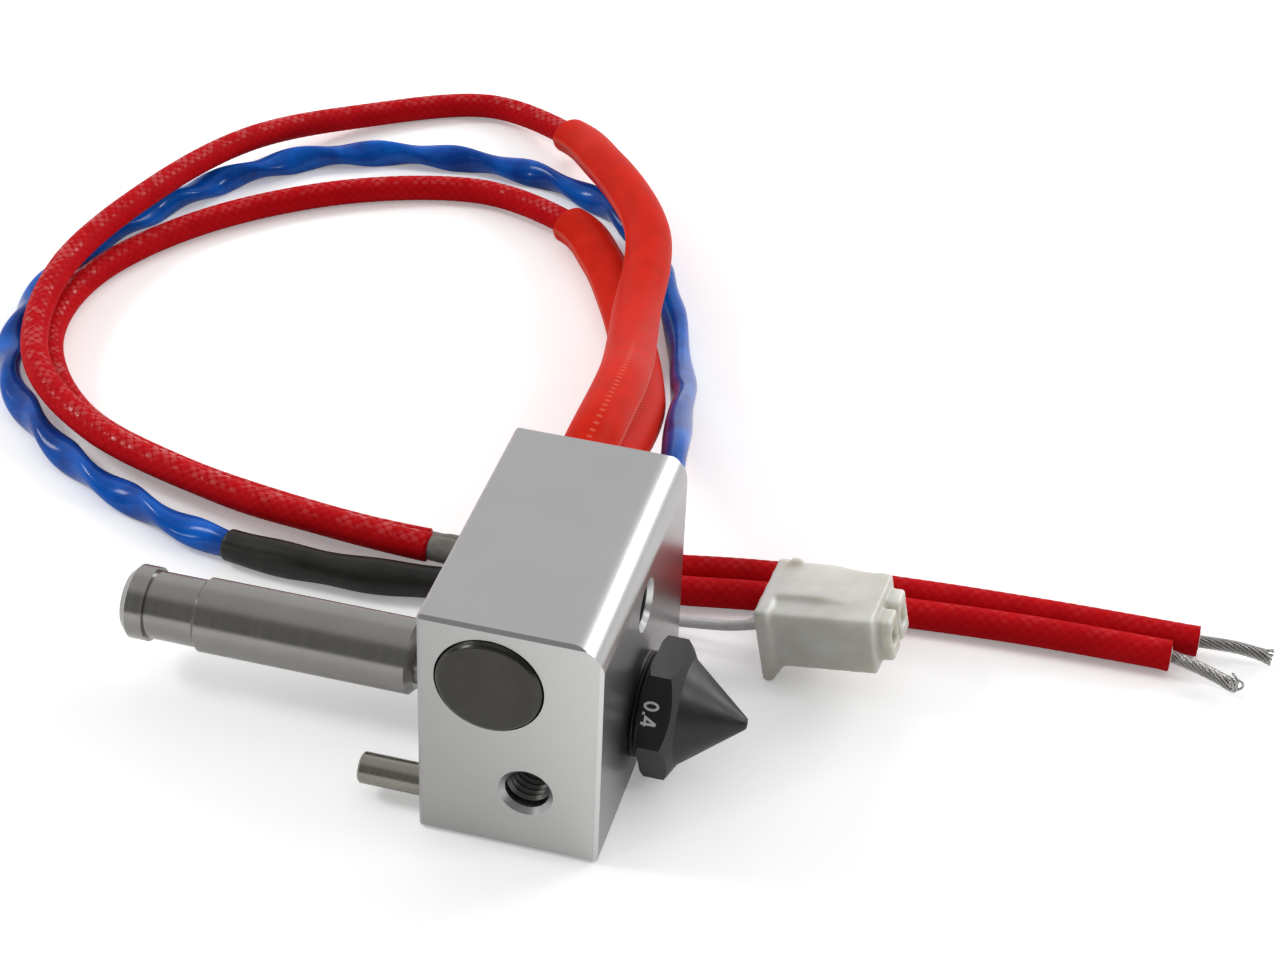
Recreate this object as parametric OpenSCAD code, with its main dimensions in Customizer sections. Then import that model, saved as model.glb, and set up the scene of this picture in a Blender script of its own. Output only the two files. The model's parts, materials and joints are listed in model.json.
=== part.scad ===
// Hotend assembly of a filament printer: heater block, nozzle, heat break, heater and
// thermistor with their leads. Millimetres. The origin is the middle of the block's
// underside: +X is the way the nozzle points, +Y the way the leads leave, +Z is up.

/* [Heater block] */
// Width of the block along the nozzle axis
block_w = 10.2; // [9.6:0.1:14]
// Depth of the block along the heater
block_d = 18; // [17:0.5:24]
// Height of the block
block_h = 15; // [14.6:0.1:20]
// Radius of the long upper edge on the nozzle side
edge_round = 1.7; // [0.4:0.1:2.4]
// Break on the block's other edges
edge_break = 0.2; // [0.1:0.05:0.4]

/* [Nozzle and heat break bore] */
// Height of the nozzle axis above the block's underside
nozzle_z = 4.15; // [3.7:0.05:4.4]
// Place of the nozzle axis along the depth
nozzle_y = 0; // [-1:0.25:0.5]
// Thread of the nozzle and of the heat break, outside
thread_d = 5.9; // [5:0.1:6]
// Radial clearance of every thread in its hole
thread_gap = 0.05; // [0.02:0.01:0.1]
// Bore that the filament runs in
filament_bore_d = 2; // [1.8:0.05:2.2]

/* [Nozzle] */
// Size of the nozzle's hexagon across its flats
hex_af = 7; // [6.6:0.1:7.4]
// Turn of the tightened hexagon, from a corner that points to the front
hex_turn = 4.5; // [0:0.5:60]
// Length of the hexagon at its corners
hex_len = 1.35; // [1:0.05:2]
// Gap between the block and the tightened nozzle's hexagon
hex_gap = 0.65; // [0.2:0.05:1]
// Length of the nozzle's thread
nozzle_thread_len = 6.15; // [5:0.05:7]
// Diameter of the cone where it meets the hexagon
cone_base_d = 6.1; // [5:0.1:6.4]
// Length of the cone
cone_len = 3.5; // [2.5:0.1:5]
// Diameter of the flat at the tip
tip_d = 0.8; // [0.6:0.05:1.2]
// Diameter of the outlet
orifice_d = 0.4; // [0.2:0.1:0.6]
// Length of the outlet
orifice_len = 0.6; // [0.4:0.1:1]

/* [Heat break] */
// Outside diameter of the cold barrel
barrel_d = 4.4; // [4.2:0.1:5]
// Length of the cold barrel
barrel_len = 17.8; // [14:0.1:22]
// Outside diameter of the thin inner tube
break_tube_d = 3; // [2.6:0.1:3.4]
// Length of bare tube between the barrel and the block
break_gap = 2.8; // [2:0.1:4]
// Diameter of the clip seat turned into the barrel
clip_seat_d = 4; // [3.8:0.05:4.1]
// Length of the clip seat
clip_seat_len = 3; // [2:0.1:4]
// Length of the head outside the clip seat
barrel_head_len = 1.5; // [1:0.1:2.5]
// Chamfer at the cold end
cold_chamfer = 0.45; // [0.2:0.05:0.55]
// Chamfer at the end by the block
hot_chamfer = 0.4; // [0.2:0.05:0.5]

/* [Heater cartridge] */
// Cartridge axis across the block
heater_x = -1.1; // [-1.3:0.1:-0.9]
// Cartridge axis above the block's underside
heater_z = 11.2; // [11.1:0.05:11.3]
// Diameter of the cartridge
heater_d = 6; // [5.6:0.1:6.1]
// Length of the cartridge
heater_len = 19; // [19:0.5:22]
// Length of its closed end that stands out of the block
heater_proud = 0.3; // [0:0.05:0.6]
// Radial clearance of the cartridge in its bore
heater_gap = 0.05; // [0.02:0.01:0.1]
// Wall of the cartridge's steel sheath
sheath_wall = 0.35; // [0.25:0.05:0.5]
// Thickness of the sheath's closed end
sheath_end = 0.8; // [0.5:0.1:1.2]
// Rounding of the sheath's closed end
sheath_round = 0.45; // [0.2:0.05:0.6]
// Diameter of the ceramic core
core_d = 4; // [3.8:0.1:4.2]
// Radial thickness of the winding on the core
winding_t = 0.3; // [0.2:0.05:0.4]
// Length of core past each end of the winding
core_tail = 1.5; // [1:0.1:2.5]
// Thickness of the seal at the lead end
seal_len = 1.5; // [1:0.1:2.5]
// Diameter of the two pins in the core
pin_wire_d = 0.9; // [0.7:0.1:1]

/* [Heater set screw] */
// Diameter of the M3 thread's core hole
tap_d = 2.5; // [2.4:0.05:2.6]
// Diameter of the countersink at a tapped hole's mouth
tap_mouth_d = 3.1; // [2.9:0.1:3.4]
// Length of the set screw
set_screw_len = 2.4; // [2:0.1:3]
// Size of the set screw's hexagon socket across its flats
socket_af = 1.3; // [1.2:0.1:1.5]
// Depth of the set screw's socket
socket_depth = 1.2; // [0.8:0.1:1.6]
// Place of the set screw along the depth
set_screw_y = 0; // [-1:0.25:0.5]

/* [Front tapped hole] */
// Place of the front hole across the block
front_hole_x = 1; // [0:0.25:2]
// Depth of the front hole's straight wall
front_hole_len = 4.4; // [3:0.1:4.6]

/* [Thermistor] */
// Thermistor axis across the block
sensor_x = 2.9; // [2.8:0.05:3]
// Thermistor axis above the block's underside
sensor_z = 8.2; // [8:0.05:8.3]
// Diameter of the thermistor's can
can_d = 3; // [2.6:0.1:3.1]
// Length of the thermistor's can
can_len = 6; // [5:0.25:6.25]
// Length of can that stands out of the block
can_out = 1; // [0.5:0.25:2]
// Radial clearance of the can in its bore
can_gap = 0.05; // [0.02:0.01:0.1]
// Wall of the can
can_wall = 0.3; // [0.2:0.05:0.4]
// Diameter of the glass bead
bead_d = 1.4; // [1:0.1:1.6]

/* [Locating pin] */
// Diameter of the pin outside the block
pin_d = 1.8; // [1.5:0.1:2]
// Length of pin that stands out of the block
pin_out = 4; // [3:0.25:6]
// Length of pin pressed into the block
pin_in = 3; // [2:0.25:4]
// Diameter of the pressed length
pin_seat_d = 1.2; // [1:0.1:1.4]
// Place of the pin along the depth
pin_y = -7; // [-7.25:0.25:-6]
// Place of the pin above the block's underside
pin_z = 1.6; // [1.3:0.05:1.8]

/* [Leads] */
// Diameter of the braided heater leads
lead_d = 1.9; // [1.6:0.05:1.95]
// Outside diameter of the smooth sleeves at the heater
sleeve_d = 3.1; // [2.8:0.05:3.15]
// Bore of the smooth sleeves
sleeve_bore_d = 2.4; // [2.2:0.05:2.5]
// Diameter of the grey splices in the heater leads
splice_d = 1.6; // [1.4:0.05:1.8]
// Diameter of the twisted bare strands at the leads' ends
strand_d = 0.8; // [0.6:0.05:1]
// Diameter of the thermistor's blue sleeve
sensor_sleeve_d = 1.7; // [1.4:0.05:1.75]
// Diameter of the black shrink tube
shrink_d = 2.2; // [2:0.05:2.25]
// Diameter of the two thin thermistor wires
sensor_wire_d = 0.6; // [0.5:0.05:0.65]

/* [Connector] */
// Length of the housing's body
housing_len = 6.2; // [5.8:0.1:8]
// Width of the housing's body
housing_w = 5.1; // [4.9:0.1:5.4]
// Height of the housing's body
housing_h = 3.8; // [3.6:0.1:4.4]
// Length of the flange at the wire end
flange_len = 0.9; // [0.6:0.1:1.4]
// Amount the flange stands out of the body at each side and on top
flange_out = 0.3; // [0.1:0.05:0.4]
// Length of the two towers at the mating end, one round each contact
tower_len = 0.9; // [0.4:0.1:1.2]
// Width of each tower
tower_w = 1.6; // [1.5:0.05:1.7]
// Amount the towers lie inside the body's top and bottom
tower_in = 0.5; // [0.3:0.05:0.8]
// Height of the skirt under the flange
skirt_h = 1; // [0.6:0.1:1.2]
// Distance between the two contacts
contact_pitch = 2; // [1.9:0.05:2.2]
// Side of the square contact cavities
cavity_w = 1.1; // [1:0.05:1.2]
// Clearance of a contact in its cavity
contact_gap = 0.05; // [0.02:0.01:0.1]
// Thickness of the contacts' sheet
contact_t = 0.2; // [0.15:0.05:0.25]

/* [Hidden] */

$fn = 64;
// Overlap of a cut past the face it opens
cut = 0.5;
// Faces of the block
front_y = -block_d / 2;
back_y = block_d / 2;
nozzle_face_x = block_w / 2;
break_face_x = -block_w / 2;
// Bores of the block
heater_bore_d = heater_d + 2 * heater_gap;
main_bore_d = thread_d + 2 * thread_gap;
can_bore_d = can_d + 2 * can_gap;
can_in = can_len - can_out;
// Run of the heater
heater_start_y = front_y - heater_proud;
heater_end_y = heater_start_y + heater_len;
seal_at = heater_len - seal_len;
winding_from = sheath_end + core_tail;
winding_to = seal_at - core_tail;
winding_d = core_d + 2 * winding_t;
sheath_bore_d = heater_d - 2 * sheath_wall;
pin_out_y = core_d / 2 - pin_wire_d;
// Lead exits in the heater's seal, above and below its axis
lead_out_x = 0.25;
lead_out_z = 1.6;
// Run of the nozzle
hex_back_x = nozzle_face_x + hex_gap;
nozzle_back_x = hex_back_x - nozzle_thread_len;
hex_corner_d = hex_af / cos(30);
// Slope of the chamfer on the hexagon's front corners
hex_chamfer = tan(30);
cone_back_x = hex_back_x + hex_len + hex_chamfer * (hex_corner_d - cone_base_d) / 2;
tip_x = cone_back_x + cone_len;
tip_round = 0.12;
inlet_chamfer = 0.2;
// Run of the heat break
barrel_hot_x = break_face_x - break_gap;
cold_x = barrel_hot_x - barrel_len;
drill_slope = 31;
// Run of the thermistor
can_end_y = back_y + can_out;
can_inner_d = can_d - 2 * can_wall;
bead_gap = 0.3;
bead_at = can_wall + bead_gap + bead_d / 2;
// The connector's own frame: u along it from the wire end, v across it, w up
housing_at = [10.4, 8.9, 0];
housing_yaw = -4;
// It stands on its skirt, with the mating end held up by the wires
housing_lift = 11;
body_end_u = flange_len + housing_len;
tower_end_u = body_end_u + tower_len;
cavity_mid_w = skirt_h + housing_h / 2;
foot_len = 0.6;
foot_slope_len = 0.7;
rib_from_v = 1.6;
rib_len = 2.6;
rib_slope_len = 2;
rib_h = 0.35;
stop_len = 0.8;
stop_w = 0.5;
stop_h = 0.3;
crimp_u = 1;
crimp_len = 1.4;
contact_recess = 0.6;
// A place in the connector's frame, given in the row's frame
function in_housing(u, v, w) =
  let (x = u * cos(housing_lift) - w * sin(housing_lift),
    z = w * cos(housing_lift) + u * sin(housing_lift))
  housing_at + [x * cos(housing_yaw) - v * sin(housing_yaw),
    x * sin(housing_yaw) + v * cos(housing_yaw), z];

// Routes of the cords. Each starts at its exit, worked out from the sizes, and runs straight
// out of it to its second point.
exit_run = [0, 3.5, 0];
lead_a_exit = [heater_x - lead_out_x, heater_end_y, heater_z + lead_out_z];
lead_b_exit = [heater_x + lead_out_x, heater_end_y, heater_z - lead_out_z];
sensor_exit = [sensor_x, can_end_y, sensor_z];
lead_a_route = [lead_a_exit, lead_a_exit + exit_run, [-1.9, 20, 11.2], [-2.9, 26, 8.8],
  [-4.1, 32, 6.8], [-5.3, 38, 5.4], [-6.2, 44, 4.9], [-7.5, 49, 4.7], [-10, 54, 4.2],
  [-13.5, 59.5, 3.3], [-17.9, 65.6, 1.8], [-26, 69.5, 1], [-34.5, 64.5, 1.2], [-40.5, 56, 2.6],
  [-44, 45.5, 3.2], [-45.8, 34, 3.1], [-43, 23.5, 2.9], [-36, 17.2, 2.6], [-26, 13.8, 2.4],
  [-19, 12.8, 2.3], [-11.6, 12.3, 2.2], [-4, 12.8, 1.9], [2.5, 13.9, 1.2], [9, 15.3, 1],
  [17, 16.3, 1], [25, 16.8, 1.1], [33.5, 17, 1.1]];
lead_b_route = [lead_b_exit, lead_b_exit + exit_run, [-1.2, 20, 7.4], [-2, 26, 5.4],
  [-3.5, 32, 3.3], [-5.4, 38, 1.7], [-7.8, 43.5, 1.6], [-10.8, 49, 1.6], [-14.3, 53, 1.6],
  [-22.5, 56.5, 1], [-32, 53.2, 1], [-40.2, 46, 1], [-44.8, 37, 1], [-44.2, 28, 1],
  [-38.5, 20.5, 1], [-30, 16.7, 1], [-20, 14.7, 1], [-12.2, 14.2, 1], [-4, 14.8, 1], [8, 17.3, 1],
  [17, 18.3, 1], [26, 18.8, 1], [35, 19, 1]];
sensor_route = [sensor_exit, sensor_exit + exit_run, [2, 19, 7.8], [0.8, 25.5, 5.8],
  [-0.6, 32.5, 3.2], [-2.6, 39.5, 1.2], [-5, 46.5, 0.9], [-8.5, 53, 0.9], [-13.2, 57.8, 0.9],
  [-20.5, 60.7, 0.9], [-30, 60.2, 0.9], [-38, 56, 0.9], [-44.2, 47, 0.9], [-47.4, 36, 0.9],
  [-45.6, 24.5, 0.9], [-38.5, 16.8, 0.9], [-31, 12.6, 0.9], [-24, 10.2, 1.1], [-16, 9.7, 1.2],
  [-8, 10.6, 1.2], [-2, 10.6, 1.2]];
// Last control points of the stretches of each route
sleeve_a_end = 10;
sleeve_b_end = 8;
splice_a_from = 20;
splice_a_to = 21;
splice_b_from = 17;
splice_b_to = 18;
shrink_from = 17;
strands_a_route = [[33.5, 17, 1.1], [35.5, 16.4, 1], [37.6, 15.6, 0.8]];
strands_b_route = [[35, 19, 1], [37.3, 19.1, 1], [39.5, 19, 0.8]];
sensor_wire_a_route = [[-2, 10.2, 1.2], [0, 10.2, 1.2], [4, 10.4, 1.7], [7.6, 10.4, 2.2],
  in_housing(0, housing_w / 2 - contact_pitch / 2, cavity_mid_w),
  in_housing(crimp_u, housing_w / 2 - contact_pitch / 2, cavity_mid_w)];
sensor_wire_b_route = [[-2, 11, 1.2], [0, 11, 1.2], [4, 11.2, 1.3], [8.6, 11.2, 1.9],
  in_housing(0, housing_w / 2 + contact_pitch / 2, cavity_mid_w),
  in_housing(crimp_u, housing_w / 2 + contact_pitch / 2, cavity_mid_w)];
// Sides of a cord and the most length between two of its rings
cord_sides = 8;
ring_pitch = 6.5;
strand_pitch = 1.2;

function unit(v) = v / norm(v);
function before(route, i) = i > 0 ? route[i - 1] : 2 * route[0] - route[1];
function after(route, i) =
  i + 2 < len(route) ? route[i + 2] : 2 * route[i + 1] - route[i];
// Point and direction of a smooth curve through the route, t of the way past point i
function curve_point(route, i, t) =
  let (a = before(route, i), b = route[i], c = route[i + 1], d = after(route, i))
  0.5 * (2 * b + (c - a) * t + (2 * a - 5 * b + 4 * c - d) * t * t
    + (3 * b - a - 3 * c + d) * t * t * t);
function curve_slope(route, i, t) =
  let (a = before(route, i), b = route[i], c = route[i + 1], d = after(route, i))
  unit((c - a) + 2 * (2 * a - 5 * b + 4 * c - d) * t
    + 3 * (3 * b - a - 3 * c + d) * t * t);
// Stations [point, direction] along the route from one control point to another
function stations(route, from, to, pitch) = concat(
  [for (i = [from : to - 1])
    let (steps = ceil(norm(route[i + 1] - route[i]) / pitch))
    for (k = [0 : steps - 1])
      [curve_point(route, i, k / steps), curve_slope(route, i, k / steps)]],
  [[route[to], curve_slope(route, to - 1, 1)]]);
function ring(station, radius) =
  let (side = unit(cross([0, 0, 1], station[1])), rise = cross(station[1], side))
  [for (k = [0 : cord_sides - 1])
    let (a = 360 * k / cord_sides)
    station[0] + radius * (cos(a) * side + sin(a) * rise)];
// Triangles of the wall between each ring and the next, first ring at vertex base
function wall_faces(rings, base, flip) =
  [for (i = [0 : rings - 2]) for (k = [0 : cord_sides - 1])
    let (j = (k + 1) % cord_sides, a = base + i * cord_sides, b = a + cord_sides)
    for (f = flip ? [[a + k, a + j, b + j], [a + k, b + j, b + k]]
                  : [[a + k, b + j, a + j], [a + k, b + k, b + j]]) f];

// A solid cord along stations, each with its own radius
module cord(line, radii) {
  n = len(line);
  points = [for (i = [0 : n - 1]) each ring(line[i], radii[i])];
  caps = [[for (k = [0 : cord_sides - 1]) k],
    [for (k = [cord_sides - 1 : -1 : 0]) (n - 1) * cord_sides + k]];
  polyhedron(points, concat(wall_faces(n, 0, false), caps));
}

module plain_cord(line, d) {
  cord(line, [for (s = line) d / 2]);
}

// A hollow cord along stations
module hollow_cord(line, outer_d, inner_d) {
  n = len(line);
  inner = n * cord_sides;
  points = concat(
    [for (s = line) each ring(s, outer_d / 2)], [for (s = line) each ring(s, inner_d / 2)]);
  ends = [for (k = [0 : cord_sides - 1])
    let (j = (k + 1) % cord_sides, a = (n - 1) * cord_sides)
    for (f = [[k, j, inner + j], [k, inner + j, inner + k],
      [a + k, inner + a + j, a + j], [a + k, inner + a + k, inner + a + j]]) f];
  polyhedron(points,
    concat(wall_faces(n, 0, false), wall_faces(n, inner, true), ends));
}

// A solid turned about X, from [x, radius] pairs that start and end on the axis or a bore
module turned_x(outline) {
  rotate([0, 90, 0]) rotate_extrude() polygon([for (p = outline) [p[1], p[0]]]);
}

// A round bar or hole along X or Y
module along_x(x0, x1, y, z, d) {
  translate([x0, y, z]) rotate([0, 90, 0]) cylinder(h = x1 - x0, d = d);
}

module along_y(y0, y1, x, z, d) {
  translate([x, y0, z]) rotate([-90, 0, 0]) cylinder(h = y1 - y0, d = d);
}

// Cone from diameter d0 at the start to d1 at the end
module cone_x(x0, x1, y, z, d0, d1) {
  translate([x0, y, z]) rotate([0, 90, 0]) cylinder(h = x1 - x0, d1 = d0, d2 = d1);
}

module cone_y(y0, y1, x, z, d0, d1) {
  translate([x, y0, z]) rotate([-90, 0, 0]) cylinder(h = y1 - y0, d1 = d0, d2 = d1);
}

// A rectangle of w by h from the origin's corner, with every corner broken
module broken_rect(w, h, c) {
  polygon([[c, 0], [w - c, 0], [w, c], [w, h - c], [w - c, h], [c, h], [0, h - c], [0, c]]);
}

// The block before its holes: broken edges, and one long edge rounded
module block_blank() {
  intersection() {
    translate([0, back_y, 0]) rotate([90, 0, 0]) linear_extrude(block_d) block_end();
    translate([break_face_x, front_y, 0]) linear_extrude(block_h)
      broken_rect(block_w, block_d, edge_break);
    translate([break_face_x, front_y, 0]) rotate([90, 0, 90]) linear_extrude(block_w)
      broken_rect(block_d, block_h, edge_break);
  }
}

module block_end() {
  arc_x = nozzle_face_x - edge_round;
  arc_z = block_h - edge_round;
  union() {
    translate([arc_x, arc_z]) circle(r = edge_round);
    polygon([[break_face_x + edge_break, 0], [nozzle_face_x - edge_break, 0],
      [nozzle_face_x, edge_break], [nozzle_face_x, arc_z], [arc_x, arc_z],
      [arc_x, block_h], [break_face_x + edge_break, block_h],
      [break_face_x, block_h - edge_break], [break_face_x, edge_break]]);
  }
}

module heater_block() {
  mouth = (tap_mouth_d - tap_d) / 2;
  drill_point = tap_d / 2 * tan(drill_slope);
  color("silver") difference() {
    block_blank();
    along_y(front_y - cut, back_y + cut, heater_x, heater_z, heater_bore_d);
    along_x(break_face_x - cut, nozzle_face_x + cut, nozzle_y, nozzle_z, main_bore_d);
    along_x(heater_x, nozzle_face_x + cut, set_screw_y, heater_z, tap_d);
    cone_x(nozzle_face_x - mouth, nozzle_face_x, set_screw_y, heater_z, tap_d, tap_mouth_d);
    along_x(nozzle_face_x, nozzle_face_x + cut, set_screw_y, heater_z, tap_mouth_d);
    along_y(front_y - cut, front_y + front_hole_len, front_hole_x, nozzle_z, tap_d);
    along_y(front_y - cut, front_y, front_hole_x, nozzle_z, tap_mouth_d);
    cone_y(front_y, front_y + mouth, front_hole_x, nozzle_z, tap_mouth_d, tap_d);
    cone_y(front_y + front_hole_len, front_y + front_hole_len + drill_point,
      front_hole_x, nozzle_z, tap_d, 0);
    along_y(back_y - can_in, back_y + cut, sensor_x, sensor_z, can_bore_d);
    along_x(break_face_x - cut, break_face_x + pin_in, pin_y, pin_z, pin_seat_d);
  }
}

// The cartridge's pieces are drawn about +Z from the closed end, then laid along +Y
module in_heater() {
  translate([heater_x, heater_start_y, heater_z]) rotate([-90, 0, 0]) children();
}

module heater_sheath() {
  r = heater_d / 2;
  turns = [for (a = [0 : 15 : 90])
    [r - sheath_round + sheath_round * sin(a), sheath_round - sheath_round * cos(a)]];
  color("dimgray") in_heater() rotate_extrude() polygon(concat([[0, 0]], turns,
    [[r, heater_len], [sheath_bore_d / 2, heater_len], [sheath_bore_d / 2, sheath_end],
    [0, sheath_end]]));
}

module heater_insulation() {
  color("ivory") in_heater() difference() {
    translate([0, 0, sheath_end]) cylinder(h = seal_at - sheath_end, d = sheath_bore_d);
    translate([0, 0, winding_from]) cylinder(h = winding_to - winding_from, d = winding_d);
    translate([0, 0, sheath_end - cut]) cylinder(h = heater_len, d = core_d);
  }
}

module heater_winding() {
  color("goldenrod") in_heater() difference() {
    translate([0, 0, winding_from]) cylinder(h = winding_to - winding_from, d = winding_d);
    cylinder(h = heater_len, d = core_d);
  }
}

// The two pins that carry the current through the core and the seal
module pin_pair(z0, z1) {
  for (side = [-1, 1]) translate([side * lead_out_x, side * pin_out_y, z0])
    cylinder(h = z1 - z0, d = pin_wire_d);
}

module heater_core() {
  color("white") in_heater() difference() {
    translate([0, 0, sheath_end]) cylinder(h = seal_at - sheath_end, d = core_d);
    pin_pair(winding_from, heater_len);
  }
}

module heater_pins() {
  color("gainsboro") in_heater() pin_pair(winding_from, heater_len);
}

module heater_end_seal() {
  color("whitesmoke") in_heater() difference() {
    translate([0, 0, seal_at]) cylinder(h = seal_len, d = sheath_bore_d);
    pin_pair(seal_at - cut, heater_len + cut);
  }
}

module heater_set_screw() {
  point_x = heater_x + heater_d / 2;
  end_x = point_x + set_screw_len;
  d = tap_d - 2 * thread_gap;
  bevel = 0.3;
  cup_r = 0.6;
  color("dimgray") difference() {
    translate([0, set_screw_y, heater_z]) turned_x([[point_x + bevel, 0],
      [point_x, cup_r], [point_x, d / 2 - bevel], [point_x + bevel, d / 2],
      [end_x - bevel, d / 2], [end_x, d / 2 - bevel], [end_x, 0]]);
    translate([end_x - socket_depth, set_screw_y, heater_z]) rotate([0, 90, 0])
      cylinder(h = socket_depth + cut, d = socket_af / cos(30), $fn = 6);
  }
}

// The thermistor's pieces are drawn about +Z from the closed end, then laid along +Y
module in_sensor_bore() {
  translate([sensor_x, back_y - can_in, sensor_z]) rotate([-90, 0, 0]) children();
}

module thermistor_can() {
  color("silver") in_sensor_bore() difference() {
    cylinder(h = can_len, d = can_d);
    translate([0, 0, can_wall]) cylinder(h = can_len, d = can_inner_d);
  }
}

module thermistor_potting() {
  color("beige") in_sensor_bore() difference() {
    translate([0, 0, can_wall]) cylinder(h = can_len - can_wall, d = can_inner_d);
    translate([0, 0, bead_at]) sphere(d = bead_d);
  }
}

module thermistor_bead() {
  color("orange") in_sensor_bore() translate([0, 0, bead_at]) sphere(d = bead_d);
}

module locating_pin() {
  bevel = 0.12;
  r = pin_d / 2;
  end_x = break_face_x - pin_out;
  seat_end_x = break_face_x + pin_in;
  color("darkgray") translate([0, pin_y, pin_z]) turned_x([[end_x, 0], [end_x, r - bevel],
    [end_x + bevel, r], [break_face_x, r], [break_face_x, pin_seat_d / 2],
    [seat_end_x, pin_seat_d / 2], [seat_end_x, 0]]);
}

module nozzle() {
  bore = filament_bore_d / 2;
  taper_x = tip_x - orifice_len - (bore - orifice_d / 2);
  far = hex_corner_d / 2;
  bevel = 0.3;
  color([0.15, 0.15, 0.15]) translate([0, nozzle_y, nozzle_z]) difference() {
    union() {
      intersection() {
        translate([hex_back_x, 0, 0]) rotate([0, 90, 0])
          rotate([0, 0, 30 - hex_turn])
          cylinder(h = tip_x - hex_back_x, d = hex_corner_d, $fn = 6);
        turned_x([[hex_back_x, 0], [hex_back_x, far - bevel],
          [hex_back_x + bevel * hex_chamfer, far], [hex_back_x + hex_len, far],
          [cone_back_x, cone_base_d / 2], [tip_x - tip_round, tip_d / 2],
          [tip_x, tip_d / 2 - tip_round], [tip_x, 0]]);
      }
      turned_x([[nozzle_back_x, 0], [nozzle_back_x, thread_d / 2 - bevel],
        [nozzle_back_x + bevel, thread_d / 2], [hex_back_x + cut, thread_d / 2],
        [hex_back_x + cut, 0]]);
    }
    turned_x([[nozzle_back_x - cut, 0], [nozzle_back_x - cut, bore + inlet_chamfer + cut],
      [nozzle_back_x + inlet_chamfer, bore], [taper_x, bore],
      [tip_x - orifice_len, orifice_d / 2], [tip_x + cut, orifice_d / 2], [tip_x + cut, 0]]);
  }
}

module heat_break_tube() {
  bore = filament_bore_d / 2;
  bevel = 0.3;
  color("lightsteelblue") translate([0, nozzle_y, nozzle_z]) turned_x([
    [cold_x + inlet_chamfer, bore], [cold_x, bore + inlet_chamfer],
    [cold_x, break_tube_d / 2], [break_face_x, break_tube_d / 2],
    [break_face_x, thread_d / 2 - bevel], [break_face_x + bevel, thread_d / 2],
    [nozzle_back_x - bevel, thread_d / 2], [nozzle_back_x, thread_d / 2 - bevel],
    [nozzle_back_x, bore]]);
}

module heat_break_barrel() {
  r = barrel_d / 2;
  inner = break_tube_d / 2;
  seat_r = clip_seat_d / 2;
  seat_x = cold_x + barrel_head_len;
  seat_end_x = seat_x + clip_seat_len;
  color("gray") translate([0, nozzle_y, nozzle_z]) turned_x([
    [cold_x, inner], [cold_x, r - cold_chamfer], [cold_x + cold_chamfer, r], [seat_x, r],
    [seat_x, seat_r], [seat_end_x, seat_r], [seat_end_x + r - seat_r, r],
    [barrel_hot_x - hot_chamfer, r], [barrel_hot_x, r - hot_chamfer], [barrel_hot_x, inner]]);
}

module lead_sleeve_a() {
  color("orangered") hollow_cord(stations(lead_a_route, 0, sleeve_a_end, ring_pitch),
    sleeve_d, sleeve_bore_d);
}

module lead_sleeve_b() {
  color("orangered") hollow_cord(stations(lead_b_route, 0, sleeve_b_end, ring_pitch),
    sleeve_d, sleeve_bore_d);
}

module heater_lead_a() {
  color("red") plain_cord(stations(lead_a_route, 0, splice_a_from, ring_pitch), lead_d);
}

module heater_lead_b() {
  color("red") plain_cord(stations(lead_b_route, 0, splice_b_from, ring_pitch), lead_d);
}

module lead_splice_a() {
  color("gray") plain_cord(
    stations(lead_a_route, splice_a_from, splice_a_to, ring_pitch), splice_d);
}

module lead_splice_b() {
  color("gray") plain_cord(
    stations(lead_b_route, splice_b_from, splice_b_to, ring_pitch), splice_d);
}

module lead_tail_a() {
  color("red") plain_cord(
    stations(lead_a_route, splice_a_to, len(lead_a_route) - 1, ring_pitch), lead_d);
}

module lead_tail_b() {
  color("red") plain_cord(
    stations(lead_b_route, splice_b_to, len(lead_b_route) - 1, ring_pitch), lead_d);
}

// Bare strands swell after the insulation and thin towards their end
module strands(route) {
  line = stations(route, 0, len(route) - 1, strand_pitch);
  n = len(line) - 1;
  cord(line, [for (i = [0 : n]) strand_d / 2 * (0.8 + 0.2 * sin(180 * i / n))]);
}

module lead_strands_a() {
  color("silver") strands(strands_a_route);
}

module lead_strands_b() {
  color("silver") strands(strands_b_route);
}

module sensor_sleeve() {
  color("blue") plain_cord(stations(sensor_route, 0, shrink_from, ring_pitch),
    sensor_sleeve_d);
}

module splice_shrink() {
  color([0.12, 0.12, 0.12]) plain_cord(
    stations(sensor_route, shrink_from, len(sensor_route) - 1, ring_pitch), shrink_d);
}

// Two wires from the shrink tube's end to the contacts
module sensor_wire(route) {
  color("white") plain_cord(stations(route, 0, len(route) - 1, ring_pitch), sensor_wire_d);
}

module sensor_wire_a() {
  sensor_wire(sensor_wire_a_route);
}

module sensor_wire_b() {
  sensor_wire(sensor_wire_b_route);
}

// The connector is drawn flat at the origin, then set down on its skirt
module laid_housing() {
  translate(housing_at) rotate([0, -housing_lift, housing_yaw]) children();
}

// A profile of [u, w] points, drawn out across the housing from v0 to v1
module across_housing(v0, v1) {
  translate([0, v1, 0]) rotate([90, 0, 0]) linear_extrude(v1 - v0) children();
}

module in_cavities() {
  for (side = [-1, 1])
    translate([0, housing_w / 2 + side * contact_pitch / 2, cavity_mid_w]) children();
}

// A square bar along u, centred on its own axis
module square_bar(u0, u1, side) {
  translate([u0, -side / 2, -side / 2]) cube([u1 - u0, side, side]);
}

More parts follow.
